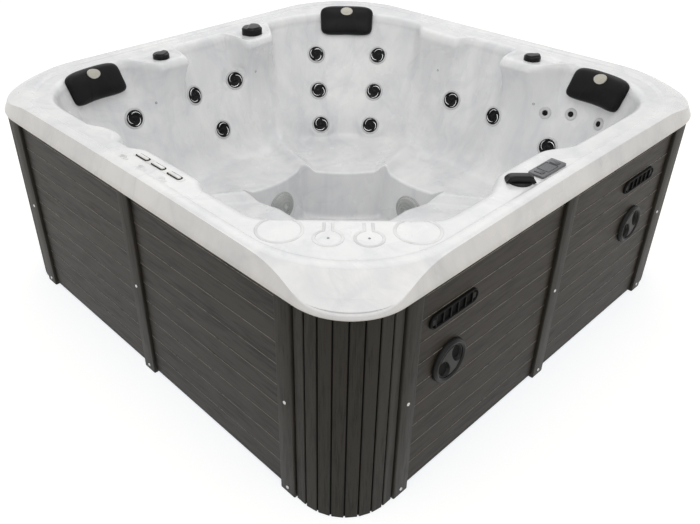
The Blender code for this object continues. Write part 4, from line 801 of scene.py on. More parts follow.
underside = {
    "floorInset": 0.005, "floorRise": 0.02, "edgeDrop": 0.03, "edgeInset": 0.03,
    "seatShares": (0.3, 0.65, 1.0), "coveInset": 0.02, "coveShare": 0.25, "coveWall": 0.7,
    "coveRise": 0.022, "wallShare": 1.1, "wallLevels": (0.5, 0.62, 0.70, 0.76), "wallTopGap": 0.005,
    "rimInset": 0.03, "slopeShare": 0.5, "slopeDrop": 0.025, "faceDrop": 0.045, "lipRise": 0.002,
}


def undersideRows(turns, level):
    # under the shell, from the floor back to the lip
    kit, wall = underside, tub["wall"]
    lip, top = lipReach(turns), topReach(turns)
    wallFoot = tub["seatLevel"] + tub["coveHeight"]
    foot = wallReach(turns, wallFoot)
    low = footwellReach(turns, tub["floorLevel"])
    edge = footwellReach(turns, tub["seatLevel"])
    floor = level(tub["floorLevel"] - wall)
    rows = [(level(0.0), floor), (low / 2, floor), (low - kit["floorInset"], floor),
            (low + wall, level(tub["floorLevel"] + kit["floorRise"])),
            (edge + wall, seatLevel(turns, 0.0) - kit["edgeDrop"])]
    inner, outer = edge + kit["edgeInset"], foot - tub["coveDepth"] + kit["coveInset"]
    rows += [(between(inner, outer, across), seatLevel(turns, across) - wall)
             for across in (0.0, *kit["seatShares"])]
    rows.append((foot - tub["coveDepth"] * kit["coveShare"] + wall * kit["coveWall"],
                 seatLevel(turns, 1.0) + kit["coveRise"]))
    rows += [(wallReach(turns, height) + wall * kit["wallShare"], level(height))
             for height in (wallFoot, *kit["wallLevels"], tub["wallTop"] - kit["wallTopGap"])]
    pool = storedReach(poolLine, tub["bullnose"], turns) - ledgeDepth(turns)
    rows += [(pool, level(tub["rimInner"] - wall)), (top - kit["rimInset"], level(tub["rimInner"] - wall)),
             (lip - (lip - top) * kit["slopeShare"] - wall, level(tub["rimTop"] - kit["slopeDrop"])),
             (lip - wall, level(tub["rimTop"] - kit["faceDrop"])),
             (lip - wall, level(tub["lipBottom"] + kit["lipRise"]))]
    return rows


def flattenRound(grid, place, radius):
    # the wall is flat where a jet's flange sits on it, and blends back round about
    inward = np.array(place.inverted())
    local = grid @ inward[:3, :3].T + inward[:3, 3]
    reach = np.hypot(local[..., 0], local[..., 1])
    blend = np.clip((reach - radius - jets["flatEdge"]) / jets["flatFade"], 0.0, 1.0)
    blend = np.where(np.abs(local[..., 2]) < jets["flatDepth"], eased(blend), 1.0)
    shift = local[..., 2] * (blend - 1)
    grid += shift[..., None] * np.array(place)[:3, 2]


def surfaceNormal(reachAt, turn, level, turnStep=0.03, riseStep=0.0178):
    # across four places round about, so that the ledges' fine form doesn't tilt a fitting
    spots = []
    for stepTurn, stepLevel in ((-turnStep, 0.0), (turnStep, 0.0), (0.0, -riseStep), (0.0, riseStep)):
        reach = float(reachAt(turn + stepTurn, level + stepLevel)[0])
        spots.append(Vector((reach * math.cos(turn + stepTurn), reach * math.sin(turn + stepTurn),
                             level + stepLevel)))
    normal = (spots[1] - spots[0]).cross(spots[3] - spots[2]).normalized()
    return -normal if normal.x * math.cos(turn) + normal.y * math.sin(turn) > 0 else normal


def wallSeat(reachAt, degrees, level):
    # a matrix whose Z axis leaves the wall at that place, and whose Y axis points upwards
    turn = math.radians(degrees)
    reach = float(reachAt(turn, level)[0])
    normal = surfaceNormal(reachAt, turn, level)
    sideways = Vector((0.0, 0.0, 1.0)).cross(normal).normalized()
    axes = Matrix((sideways, normal.cross(sideways), normal)).transposed().to_4x4()
    return Matrix.Translation((reach * math.cos(turn), reach * math.sin(turn), level)) @ axes


def jetSeat(degrees, share):
    return wallSeat(wallReach, degrees, tub["rimTop"] * share)


def rimPlace(spot, turn=0.0):
    turned = Matrix.Rotation(math.radians(turn), 4, "Z")
    return Matrix.Translation((spot[0], spot[1], tub["rimInner"])) @ turned


def buildShell():
    turns = fullTurn(tub["columns"])
    turns = turns + tub["crowding"] * np.sin(4 * turns) / 4
    level = lambda value: np.full(len(turns), value)
    seats, edge, radius = seatRows(turns, level)
    upper = rimRows(turns, level) + seats + footwellRows(turns, level, edge, radius)
    rows = upper + undersideRows(turns, level)
    grid = np.zeros((len(rows), len(turns), 3))
    for number, (reach, height) in enumerate(rows):
        grid[number, :, 0] = reach * np.cos(turns)
        grid[number, :, 1] = reach * np.sin(turns)
        grid[number, :, 2] = height
    for kind, flange in (("large", "flange"), ("neck", "neckFlange")):
        for seat in jets[kind].values():
            flattenRound(grid[:len(upper)], jetSeat(*seat[:2]), jets[flange])
    return closedMesh(meshFromGrid("shellSkin", grid, closeRows=True), 50.0)


addPiece("shellSkin", buildShell(), "tub", "acrylic", ["shell"])


# Cabinet: boards, slatted corners, strips and screws

cabinet = {
    "top": 0.778, "panelBottom": 0.012, "panelFace": 1.018, "panelBack": 1.006,
    "panelStart": 0.0333, "panelEnd": 0.7472, "firstBoard": 0.035, "boardPitch": 0.080,
    "boardEdge": 0.0010, "edgeHeight": 0.0022, "edgeProud": 0.0003, "edgeInset": 0.001,
    "stripFace": 1.03, "stripWidth": 0.065, "stripEnd": 0.748, "stripEdge": 0.004,
    "slatFace": 1.022, "slatRadius": 0.205, "nearSlatRadius": 0.18, "cornerSeam": 0.813,
    "slats": 8, "slatGap": 0.005, "slatThick": 0.006, "slatEdge": 0.002, "backingInset": 0.001,
    "backingGap": 0.002,
    # each side from the one with the locks round to the front, then the corner after it
    "panels": (("panel_right_near", "panel_right_far"), ("panel_back_right", "panel_back_left"),
               ("panel_left_far", "panel_left_near"), ("panel_front_left", "panel_front_right")),
    "strips": ("centre_strip_right", "centre_strip_back", "centre_strip_left", "centre_strip_front"),
    "posts": ("corner_post_right_far", "corner_post_back_left", "corner_post_left_near",
              "corner_post_front_right"),
}


def sidePlace(quarter):
    # turns what is built on the +X side to another side of the tub
    return Matrix.Rotation(quarter * math.pi / 2, 4, "Z")


def stackTree():
    # copies of the input piece in a row
    tree, given = newTree("Row of copies", (("Count", "Int"), ("Start", "Vector"), ("Step", "Vector"),
                                            ("Material", "Material")))
    line = put(tree, "GeometryNodeMeshLine", Count=given["Count"], Start_Location=given["Start"],
               Offset=given["Step"])
    return endCopies(tree, given, line.outputs["Mesh"], given["Geometry"])


rowTree = stackTree()


def rowOf(name, mesh, count, start, step, finish):
    values = {"Count": count, "Start": start, "Step": step, "Material": finishes[finish]}
    return smoothed(grownMesh(name, mesh, rowTree, values))


def buildPanels():
    cab = cabinet
    half = (cab["panelEnd"] - cab["panelStart"]) / 2
    back, face, edge = cab["panelBack"], cab["panelFace"], cab["boardEdge"]
    firstTop = cab["top"] - cab["firstBoard"]
    count = int((firstTop - cab["panelBottom"]) / cab["boardPitch"])
    lastTop = firstTop - count * cab["boardPitch"]
    start, step = (0.0, 0.0, firstTop), (0.0, 0.0, -cab["boardPitch"])
    inset = half - cab["edgeInset"]
    for quarter, names in enumerate(cab["panels"]):
        # the ±X faces take the darker board copy and the ±Y faces the lighter one: painted shade and light by
        # face
        finish = "boardsY" if quarter % 2 == 0 else "boardsX"
        for hand, name in zip((-1, 1), names):
            board = boxMesh("board", (back, -half, -cab["boardPitch"]), (face, half, 0.0), edge)
            parts = [rowOf("boards", board, count, start, step, finish)]
            for bottom, top in ((firstTop, cab["top"]), (cab["panelBottom"], lastTop)):
                parts.append(boxMesh("board", (back, -half, bottom), (face, half, top), edge))
            middle = hand * (cab["panelStart"] + cab["panelEnd"]) / 2
            place = sidePlace(quarter) @ Matrix.Translation((0.0, middle, 0.0))
            whole = gathered(name + "_boards", [(part, place) for part in parts], finish)
            body = name if quarter == 0 else "tub"
            addPiece(name + "_boards", whole, body, standsFor=[name])
            # a thin light strip along the upper edge of each board: a painted highlight where light catches
            # the edge
            low = (face - cab["edgeInset"], -inset, -cab["edgeHeight"] - edge)
            line = boxMesh("line", low, (face + cab["edgeProud"], inset, -edge))
            lines = placed(rowOf(name + "_edges", line, count, start, step, "edges"), place)
            addPiece(name + "_edges", lines, body, standsFor=[name])


def slatTree():
    # slats stand along a path, each turned square to it
    tree, given = newTree("Slats along a path", (("Count", "Int"), ("Slat", "Object"),
                                                 ("Material", "Material")))
    path = put(tree, "GeometryNodeMeshToCurve", Mesh=given["Geometry"])
    half = mathNode(tree, "DIVIDE", 0.5, given["Count"])
    rest = mathNode(tree, "SUBTRACT", 1.0, half)
    middle = put(tree, "GeometryNodeTrimCurve", {"mode": "FACTOR"}, Curve=path.outputs["Curve"],
                 i2=half, i3=rest)
    spots = put(tree, "GeometryNodeCurveToPoints", {"mode": "COUNT"}, Curve=middle.outputs["Curve"],
                Count=given["Count"])
    facing = put(tree, "FunctionNodeAlignRotationToVector", {"axis": "X", "pivot_axis": "Z"},
                 Vector=spots.outputs["Tangent"])
    slat = put(tree, "GeometryNodeObjectInfo", Object=given["Slat"])
    return endCopies(tree, given, spots.outputs["Points"], slat.outputs["Geometry"],
                     Rotation=facing.outputs["Rotation"])


def cornerPath(radius, depth, steps=48):
    # the line of the rounded corner from one strip to the other, some depth behind its face
    face, seam = cabinet["slatFace"] - depth, cabinet["cornerSeam"]
    centre = cabinet["slatFace"] - radius
    spots = [(face, seam)]
    for step in range(steps + 1):
        turn = math.pi / 2 * step / steps
        spots.append((centre + (radius - depth) * math.cos(turn),
                      centre + (radius - depth) * math.sin(turn)))
    return spots + [(seam, face)]


def lineMesh(name, lines):
    # open lines of (x, y) as edges at level 0
    spots, edges = [], []
    for line in lines:
        edges += [(len(spots) + number, len(spots) + number + 1) for number in range(len(line) - 1)]
        spots += [(x, y, 0.0) for x, y in line]
    mesh = bpy.data.meshes.new(name)
    mesh.from_pydata(spots, edges, [])
    return mesh


def buildPosts():
    cab, tree = cabinet, slatTree()
    back, face, top = cab["panelBack"], cab["stripFace"], cab["top"]
    for quarter, name in enumerate(cab["posts"]):
        place = sidePlace(quarter)
        radius = cab["nearSlatRadius"] if name == "corner_post_front_right" else cab["slatRadius"]
        whole = 2 * (cab["slatFace"] - radius - cab["cornerSeam"]) + radius * math.pi / 2
        half = whole / cab["slats"] / 2 - cab["slatGap"] / 2
        slatMesh = boxMesh("slat", (-half, 0.0, 0.0), (half, cab["slatThick"], top), cab["slatEdge"])
        slat = bpy.data.objects.new("slat", slatMesh)
        values = {"Count": cab["slats"], "Slat": slat, "Material": finishes["strips"]}
        slats = grownMesh("slats", lineMesh("cornerLine", [cornerPath(radius, 0.0)]), tree, values)
        bpy.data.objects.remove(slat)
        addPiece(name + "_slats", smoothed(placed(slats, place)), "tub",
                 standsFor=[name])
        # the backing behind the slats is near black: painted shade in the gaps between the slats
        outer = cornerPath(radius, cab["slatThick"] - cab["backingInset"])
        inner = cornerPath(radius, cab["slatFace"] - back)
        backing = prismMesh("backing", outer + inner[::-1], cab["backingGap"], top - cab["backingGap"])
        addPiece(name + "_backing", placed(backing, place), "tub", "gap", [name])
        start, end = cab["stripEnd"], cab["cornerSeam"]
        along = boxMesh("edge", (back, start, 0.0), (face, end, top), cab["stripEdge"], 3)
        across = boxMesh("edge", (start, back, 0.0), (end, face, top), cab["stripEdge"], 3)
        strips = gathered(name + "_strips", [(along, place), (across, place)], "strips")
        addPiece(name + "_strips", closedMesh(strips), "tub", standsFor=[name])
    half = cab["stripWidth"] / 2
    for quarter, name in enumerate(cab["strips"]):
        strip = boxMesh("strip", (back, -half, 0.0), (face, half, top), cab["stripEdge"], 3)
        addPiece(name + "_bar", placed(strip, sidePlace(quarter)), "tub",
                 "strips", [name])


screws = {
    "radius": 0.0062, "height": 0.0022, "levels": (0.39, 0.025), "places": (-0.7805, 0.0, 0.7805),
    # the cross is a sunken middle whose rows 1 and 2 swell into four arms
    "recess": 0.0028, "recessFoot": 0.6, "recessFloor": 0.2, "arms": 4, "armSwell": 0.35,
    "flat": 0.7, "shoulder": 0.93, "shoulderHeight": 0.7, "sides": 24, "smoothAngle": 25.0,
}


def screwTree():
    # the same screw on every point
    tree, given = newTree("Screws on points", (("Screw", "Object"), ("Turn", "Rotation"),
                                               ("Material", "Material")))
    points = put(tree, "GeometryNodeMeshToPoints", Mesh=given["Geometry"])
    screw = put(tree, "GeometryNodeObjectInfo", Object=given["Screw"])
    return endCopies(tree, given, points.outputs["Points"], screw.outputs["Geometry"],
                     Rotation=given["Turn"])


def screwMesh():
    kit = screws
    radius, height, recess = kit["radius"], kit["height"], kit["recess"]
    floor = height * kit["recessFloor"]
    profile = ((0.0, floor), (recess * kit["recessFoot"], floor), (recess, height),
               (radius * kit["flat"], height), (radius * kit["shoulder"], height * kit["shoulderHeight"]),
               (radius, 0.0), (0.0, 0.0))

    def cross(row, turns):
        return 1 + kit["armSwell"] * np.cos(kit["arms"] * turns) if row in (1, 2) else 1.0

    return turnedMesh("screw", profile, kit["sides"], cross, kit["smoothAngle"])


def buildScrews():
    kit = screws
    screw = bpy.data.objects.new("screw", screwMesh())
    tree = screwTree()
    spots = [(cabinet["stripFace"], y, z) for y in kit["places"] for z in kit["levels"]]
    for quarter, side in enumerate(("right", "back", "left", "front")):
        points = bpy.data.meshes.new("screwPoints")
        points.from_pydata(spots, [], [])
        values = {"Screw": screw, "Turn": (0.0, math.pi / 2, 0.0), "Material": finishes["steel"]}
        grown = placed(grownMesh("screws_" + side, points, tree, values), sidePlace(quarter))
        addPiece("screws_" + side, smoothed(grown, kit["smoothAngle"]), "tub")
    bpy.data.objects.remove(screw)


buildPanels()
buildPosts()
buildScrews()
print("cabinet made")


# Vents and locks on the service panels

service = {
    "bodies": ("near", "far"), "ventPlaces": (-0.594, 0.517), "ventLevel": 0.63, "ventLength": 0.22,
    "ventHeight": 0.05, "ventRibs": 6, "ribWidth": 0.005, "ribEdge": 0.0014, "ribTop": 0.00738,
    "ribEnd": 0.00312, "ribSpanEase": 0.002, "capLength": 0.017, "capHalf": 0.011, "capTop": 0.0063,
    "barFloor": 0.0008, "floorInset": 0.00416, "floorRange": (0.0004, 0.0012),
    # inset and height of each point round the vent's rim
    "ventProfile": ((0.0, 0.0004), (0.0, 0.00495), (0.0012, 0.00774), (0.003, 0.009), (0.0039, 0.009),
                    (0.0052, 0.0072), (0.0062, 0.0004)),
    "lockPlaces": (-0.591, 0.53), "lockLevel": 0.435, "ringRadius": 0.075, "ringWidth": 0.0165,
    # distance from the ring's outer edge, and height
    "ringProfile": ((0.0, 0.0004), (0.0, 0.0056), (-0.0015, 0.00992), (-0.0045, 0.01408),
                    (-0.008, 0.016), (-0.0105, 0.01568), (-0.014, 0.01376), (-0.0165, 0.0112),
                    (-0.0165, 0.0004)),
    "discHeight": 0.0125, "discBottom": 0.0004, "discGap": 0.001, "discEdge": 0.0012,
    "fingerDepth": 0.0095, "gripLean": 30.0, "gripEase": (0.0088, 0.0165), "gripCrown": 0.0012,
    "rimEase": (0.007, 0.003), "rimDrop": 0.003,
    # the finger gaps and their dark floors, which are painted shade in the gaps
    "gapOffset": 0.033, "gapSquash": 0.62, "gapEase": (0.020, 0.0245), "gapHalfWidth": 0.0205,
    "gapHalfLength": 0.033, "gapStart": 0.01485, "gapRim": 0.0075, "gapFloor": (-0.0002, 0.0004),
    "shaft": ((0.0, 0.0005), (0.011, 0.0005), (0.011, -0.0125), (0.0, -0.0125)),
    "armLow": (-0.01, -0.01, -0.0163), "armHigh": (0.01, 0.058, -0.0123), "armEdge": 0.001,
}


def outwardPlace(place, level):
    # a matrix on the equipment side whose Z axis points out of the cabinet and whose Y axis is up
    axes = Matrix(((0, 0, 1, 0), (1, 0, 0, 0), (0, 1, 0, 0), (0, 0, 0, 1)))
    return Matrix.Translation((cabinet["panelFace"], place, level)) @ axes


def frameMesh(name, outlineAt, profile, smoothAngle=35.0):
    # a ring that follows an outline; profile is a closed list of (inset, height)
    grid = []
    for inset, height in profile:
        spots = outlineAt(inset)
        grid.append(np.column_stack((spots, np.full(len(spots), height))))
    return closedMesh(meshFromGrid(name, np.array(grid), closeRows=True), smoothAngle)


def stadium(length, height, steps=20):
    # a bar with round ends; gives a function of the inset
    def outlineAt(inset):
        radius = height / 2 - inset
        straight = length / 2 - height / 2
        turns = np.linspace(-math.pi / 2, math.pi / 2, steps)
        right = np.column_stack((straight + radius * np.cos(turns), radius * np.sin(turns)))
        return np.concatenate((right, -right))
    return outlineAt


def discField(name, radius, heightAt, bottom, rings, sides, edge, smoothAngle=40.0, edgeSteps=3):
    # a round moulding whose top follows heightAt(x, y) and whose rim is eased by the edge
    roundOver = edge * np.sin(np.linspace(0, math.pi / 2, edgeSteps + 1)[1:])
    radii = np.concatenate((np.linspace(0.0, radius - edge, rings), radius - edge + roundOver))
    turns = fullTurn(sides)
    grid = []
    for number, reach in enumerate(radii):
        x, y = reach * np.cos(turns), reach * np.sin(turns)
        height = heightAt(x, y)
        if number >= rings:
            past = min(1.0, (reach - radius + edge) / edge)
            height = height - edge * (1 - math.cos(math.asin(past)))
        grid.append(np.column_stack((x, y, np.broadcast_to(height, sides))))
    grid[0][:] = grid[0].mean(axis=0)
    foot = roundGrid(((radius, bottom), (0.0, bottom)), sides)
    return closedMesh(meshFromGrid(name, np.concatenate((np.array(grid), foot))), smoothAngle)


def buildVents():
    kit = service
    outline = stadium(kit["ventLength"], kit["ventHeight"])
    half, rise = kit["ribWidth"] / 2, kit["ventHeight"] / 2 - kit["ribEnd"]
    span = kit["ventLength"] - kit["ventHeight"] - kit["ribSpanEase"]
    step = span / (kit["ventRibs"] - 1)
    turned = Matrix.Rotation(math.pi, 4, "Z")
    for end, where in zip(kit["bodies"], kit["ventPlaces"]):
        place, body = outwardPlace(where, kit["ventLevel"]), "panel_right_" + end
        ring = frameMesh("ventRing", outline, kit["ventProfile"])
        rib = boxMesh("rib", (-half, -rise, kit["barFloor"]), (half, rise, kit["ribTop"]), kit["ribEdge"])
        ribs = rowOf("ribs", rib, kit["ventRibs"], (-span / 2, 0.0, 0.0), (step, 0.0, 0.0), "gap")
        cap = boxMesh("cap", (-span / 2 - kit["capLength"], -kit["capHalf"], kit["barFloor"]),
                      (-span / 2, kit["capHalf"], kit["capTop"]), kit["ribEdge"])
        parts = [(ring, place), (ribs, place), (cap, place), (cap, place @ turned)]
        grille = smoothed(gathered("vent_grille_" + end, parts, "vent"))
        addPiece("vent_grille_" + end, grille, body, standsFor=["vent_" + end])
        # a near-black plate inside the vent: painted shade in its depth
        floor = prismMesh("ventFloor", outline(kit["floorInset"]).tolist(), *kit["floorRange"])
        addPiece("vent_floor_" + end, placed(floor, place), body, "gap", ["vent_" + end])


def lockTop(x, y):
    # the height of the disc: a grip bar between two finger gaps, inside a low rim
    kit, lean = service, math.radians(service["gripLean"])
    inner = kit["ringRadius"] - kit["ringWidth"]
    # across runs over the grip bar, along runs on it
    across = x * math.cos(lean) + y * math.sin(lean)
    along = -x * math.sin(lean) + y * math.cos(lean)
    side = smoothStep(np.abs(across), *kit["gripEase"])
    drop = np.hypot(np.abs(across) - kit["gapOffset"], along * kit["gapSquash"])
    opening = 1 - smoothStep(drop, *kit["gapEase"])
    start, end = kit["rimEase"]
    rim = smoothStep(np.hypot(across, along), inner - start, inner - end)
    height = kit["discHeight"] - kit["fingerDepth"] * opening * side * (1 - rim)
    crown = kit["gripCrown"] * (1 - side) * np.cos(np.clip(along / inner, -1, 1) * math.pi / 2)
    return height + crown - kit["rimDrop"] * rim


def gapFloorMesh(hand):
    # the floor of a finger gap is a little near-black plate with rounded ends: painted shade in the gap
    kit, lean = service, math.radians(service["gripLean"])
    inner = kit["ringRadius"] - kit["ringWidth"]
    around = fullTurn(48)
    across = np.clip(kit["gapOffset"] + kit["gapHalfWidth"] * np.cos(around), kit["gapStart"], None)
    along = kit["gapHalfLength"] * np.sin(around)
    inside = np.minimum(1.0, (inner - kit["gapRim"]) / np.hypot(across, along))
    across, along = hand * across * inside, hand * along * inside
    spots = np.column_stack((across * math.cos(lean) - along * math.sin(lean),
                             across * math.sin(lean) + along * math.cos(lean)))
    level = kit["discHeight"] - kit["fingerDepth"]
    low, high = kit["gapFloor"]
    return prismMesh("gapFloor", spots.tolist(), level + low, level + high)


def buildLocks():
    kit = service
    inner = kit["ringRadius"] - kit["ringWidth"]
    for end, where in zip(kit["bodies"], kit["lockPlaces"]):
        place = outwardPlace(where, kit["lockLevel"])
        ring = turnedRing("lockRing", moved(kit["ringProfile"], kit["ringRadius"]), 96)
        addPiece("lock_collar_" + end, placed(ring, place), "panel_right_" + end,
                 "service", ["lock_ring_" + end])
        disc = discField("lockDisc", inner - kit["discGap"], lockTop, kit["discBottom"], rings=60,
                         sides=144, edge=kit["discEdge"])
        shaft = turnedMesh("lockShaft", kit["shaft"], 32)
        arm = boxMesh("lockArm", kit["armLow"], kit["armHigh"], kit["armEdge"])
        whole = gathered("lock_turn_" + end, [(part, place) for part in (disc, shaft, arm)], "service")
        addPiece("lock_turn_" + end, smoothed(whole, 40.0), "lock_disc_" + end,
                 standsFor=["lock_disc_" + end])
        # the dark gap floors are painted shade
        floors = gathered("lock_gaps_" + end, [(gapFloorMesh(hand), place) for hand in (-1, 1)], "gap")
        addPiece("lock_gaps_" + end, floors, "lock_disc_" + end)


buildVents()
buildLocks()
print("vents and locks made")


# Jets and suction covers

def aroundTree():
    # copies of the input piece round its Z axis
    tree, given = newTree("Copies round an axis", (("Count", "Int"), ("Material", "Material")))
    ring = put(tree, "GeometryNodeMeshLine", Count=given["Count"], Offset=(0.0, 0.0, 0.0))
    index = put(tree, "GeometryNodeInputIndex").outputs["Index"]
    angle = mathNode(tree, "MULTIPLY", mathNode(tree, "DIVIDE", index, given["Count"]), 2 * math.pi)
    turn = put(tree, "ShaderNodeCombineXYZ", Z=angle).outputs[0]
    return endCopies(tree, given, ring.outputs["Mesh"], given["Geometry"], smooth=True, Rotation=turn)


roundTree = aroundTree()


def roundOf(name, mesh, count, finish):
    values = {"Count": count, "Material": finishes[finish]}
    return smoothed(grownMesh(name, mesh, roundTree, values), 40.0)


jetForms = {
    # radius and height; the ring is counted from the face and then from the flange's edge
    "ringInner": ((-0.0006, -0.004), (-0.0006, 0.0016), (0.0006, 0.0036), (0.0030, 0.0048)),
    "ringOuter": ((-0.0030, 0.0042), (-0.0008, 0.0024), (0.0, 0.0004), (0.0, -0.004)),
    "cup": ((0.0, 0.0012), (0.010, 0.0012), (0.0215, 0.0016), (0.0300, 0.0028), (0.0352, 0.0044)),
    "cupRim": ((-0.0008, 0.0046), (-0.0004, 0.0030), (-0.0004, -0.0042)),
    "lobes": ((0.0, 0.0046), (0.004, 0.0044), (0.0085, 0.0036), (0.0115, 0.0016), (0.0115, -0.0040),
              (0.0, -0.0040)),
    "lobeCount": 3, "lobeSwell": 0.22,
    "neckCup": ((0.0, -0.0040), (0.01161, -0.0040), (0.01215, 0.0022)),
    "neckInner": ((0.0, 0.0042), (0.0035, 0.0048)),
    "neckOuter": ((-0.003, 0.0036), (-0.0008, 0.0020), (0.0, 0.0003), (0.0, -0.0042)),
    "neckEye": ((0.0, 0.0016), (0.0035, 0.0016), (0.0045, 0.0030), (0.0065, 0.0030), (0.0095, 0.0016),
                (0.01161, 0.0030), (0.01188, 0.0024), (0.01188, -0.0038), (0.0, -0.0038)),
}

swoosh = {"count": 3, "steps": 24, "turn": 96.0, "reach": 0.0325, "draw": 0.009, "drawPower": 1.6,
          "height": 0.0040, "fall": 0.0014, "tip": 0.0003, "swell": 0.0018, "swellPower": 0.8,
          "swellRange": (0.04, 0.93), "sides": 10}


def swooshMesh():
    # a thin crescent that starts at the rim and sweeps in towards the eye
    kit = swoosh
    start, length = kit["swellRange"]
    route, radii = [], []
    for step in range(kit["steps"] + 1):
        share = step / kit["steps"]
        turn = math.radians(kit["turn"]) * share
        reach = kit["reach"] - kit["draw"] * share ** kit["drawPower"]
        route.append((reach * math.cos(turn), reach * math.sin(turn), kit["height"] - kit["fall"] * share))
        full = math.sin(math.pi * min(1.0, share * length + start)) ** kit["swellPower"]
        radii.append(kit["tip"] + kit["swell"] * full)
    return tubeMesh("swoosh", route, radii, kit["sides"])


def lobeMesh():
    kit = jetForms

    def lobes(row, turns):
        return 1 + kit["lobeSwell"] * np.cos(kit["lobeCount"] * turns) if row else 1.0

    return turnedMesh("lobes", kit["lobes"], 48, lobes, 50.0)


def barrelEnd(radius, top):
    # the last points of a fitting's profile, down its barrel to the axis
    return [(radius, top), (radius, -jets["barrelLength"]), (0.0, -jets["barrelLength"])]


def buildJets():
    kit, form = jets, jetForms
    trim = roundOf("swooshes", swooshMesh(), swoosh["count"], "chrome")
    ringLine = moved(form["ringInner"], kit["face"]) + moved(form["ringOuter"], kit["flange"])
    ring = turnedRing("jetRing", ringLine, 72)
    cup = list(form["cup"]) + moved(form["cupRim"], kit["face"]) + barrelEnd(kit["barrel"], -kit["seatDepth"])
    face = gathered("cup", [(turnedMesh("cup", cup, 72), Matrix.Identity(4)),
                            (lobeMesh(), Matrix.Identity(4))], "gloss")
    pieces = ((ring, "_ring", "flange"), (face, "_face", "gloss"), (trim, "_trim", "chrome"))
    for name, (degrees, share, turn) in kit["large"].items():
        place = jetSeat(degrees, share) @ Matrix.Rotation(math.radians(turn), 4, "Z")
        for mesh, ending, finish in pieces:
            addPiece(name + ending, smoothed(placed(mesh.copy(), place), 40.0), name,
                     finish, [name])
    neck = list(form["neckCup"]) + moved(form["neckInner"], kit["neckFace"])
    neck += moved(form["neckOuter"], kit["neckFlange"]) + barrelEnd(kit["neckBarrel"], -kit["seatDepth"])
    for name, (degrees, share) in kit["neck"].items():
        for profile, ending, finish in ((neck, "_ring", "flange"), (form["neckEye"], "_eye", "gloss")):
            mesh = placed(turnedMesh(name + ending, profile, 56), jetSeat(degrees, share))
            addPiece(name + ending, mesh, name, finish, [name])


covers = {
    "radius": 0.07, "dome": 0.028, "flange": 0.006, "level": 0.165,
    "domeInset": 0.006, "domeEnd": 0.0062, "domeEase": 0.002, "domeSunk": 0.003,
    # distance from the edge, and height
    "rim": ((-0.005, 0.0048), (-0.0015, 0.0045), (0.0, 0.0024), (0.0, -0.0036)),
    "barrel": ((0.03, -0.0036), (0.03, -0.06), (0.0, -0.06)),
    "ribs": 28, "ribReach": (0.017, 0.0625), "ribSunk": 0.0018, "ribRadius": 0.0014,
    "hoops": (0.015, 0.030, 0.045, 0.058), "hoopSunk": 0.0014, "hoopRadius": 0.0018,
    "button": ((0.0, 0.0285), (0.006, 0.028), (0.0105, 0.0262), (0.0115, 0.022), (0.0, 0.022)),
    "turns": {"suction_cover_left": 186.0, "suction_cover_right": 78.0},
}


def domeHeight(reach, sunk=0.0):
    # the height of the cover's dome at a distance from its middle, or of what is sunk in it
    share = min(1.0, reach / (covers["radius"] - covers["domeInset"]))
    rise = covers["dome"] - covers["flange"] - covers["domeEase"]
    return covers["flange"] + rise * math.sqrt(1 - share ** 2) - sunk


def coverRib():
    kit = covers
    route = [(reach, 0.0, domeHeight(reach, kit["ribSunk"])) for reach in np.linspace(*kit["ribReach"], 12)]
    return tubeMesh("rib", route, kit["ribRadius"], 8)


def coverHoop(reach):
    kit = covers
    height = domeHeight(reach, kit["hoopSunk"])
    route = [(reach * math.cos(turn), reach * math.sin(turn), height) for turn in fullTurn(72)]
    return tubeMesh("hoop", route, kit["hoopRadius"], 8, closed=True)


def buildCovers():
    kit = covers
    profile = [(reach, domeHeight(reach, kit["domeSunk"]))
               for reach in np.linspace(0.0, kit["radius"] - kit["domeEnd"], 20)]
    profile += moved(kit["rim"], kit["radius"]) + list(kit["barrel"])
    parts = [turnedMesh("dome", profile, 84), roundOf("ribs", coverRib(), kit["ribs"], "cover"),
             turnedMesh("button", kit["button"], 40)]
    parts += [coverHoop(reach) for reach in kit["hoops"]]
    for name, degrees in kit["turns"].items():
        place = wallSeat(footwellReach, degrees, kit["level"])
        whole = gathered(name + "_grille", [(part, place) for part in parts], "cover")
        addPiece(name + "_grille", smoothed(whole, 40.0), "tub", standsFor=[name])


injectors = {
    "radius": 0.0055, "spots": ((205.1, 0.650), (166.7, 0.658), (101.4, 0.670), (64.7, 0.659)),
    # share of the radius, and height
    "profile": ((0.0, -0.001), (0.45, -0.001), (0.55, 0.0009), (0.8, 0.0014), (1.0, 0.0004),
                (1.0, -0.002), (0.0, -0.002)),
}


def buildInjectors():
    button = turnedMesh("injector", scaled(injectors["profile"], injectors["radius"]), 28)
    parts = [(button, wallSeat(wallReach, degrees, level)) for degrees, level in injectors["spots"]]
    whole = gathered("air_injectors", parts, "grey")
    whole.shade_smooth()
    addPiece("air_injectors", whole, "tub")


buildJets()
buildCovers()
buildInjectors()
print("jets and covers made")


# Controls on the rim

controls = {
    "airKnobs": {"air_knob_left": ((-0.836, -0.31), 25.0), "air_knob_right": ((0.318, 0.85), -25.0)},
    "airRadius": 0.0365, "airHeight": 0.0125, "airGrip": 0.0048, "airBar": 0.034,
    "diverter": (-0.832, 0.205), "diverterTurn": 40.0, "diverterRadius": 0.048,
    "diverterHeight": 0.0245, "diverterGrip": 0.0050, "diverterBar": 0.052,
    "diverterLobes": 5, "lobeSwell": 0.035, "sinkClear": 0.0002,
    # the bar across a knob in shares of its width, and its ends and the knob's rim in shares of the radius
    "barShift": 0.25, "barEase": (0.42, 0.62), "barEnd": (0.84, 0.95), "rimEase": (0.86, 0.99),
    "rimDrop": 0.003, "crown": 0.0015, "knobEdge": 0.002,
    "stem": ((0.0, 0.001), (0.011, 0.001), (0.011, -0.05), (0.0, -0.05)),
}


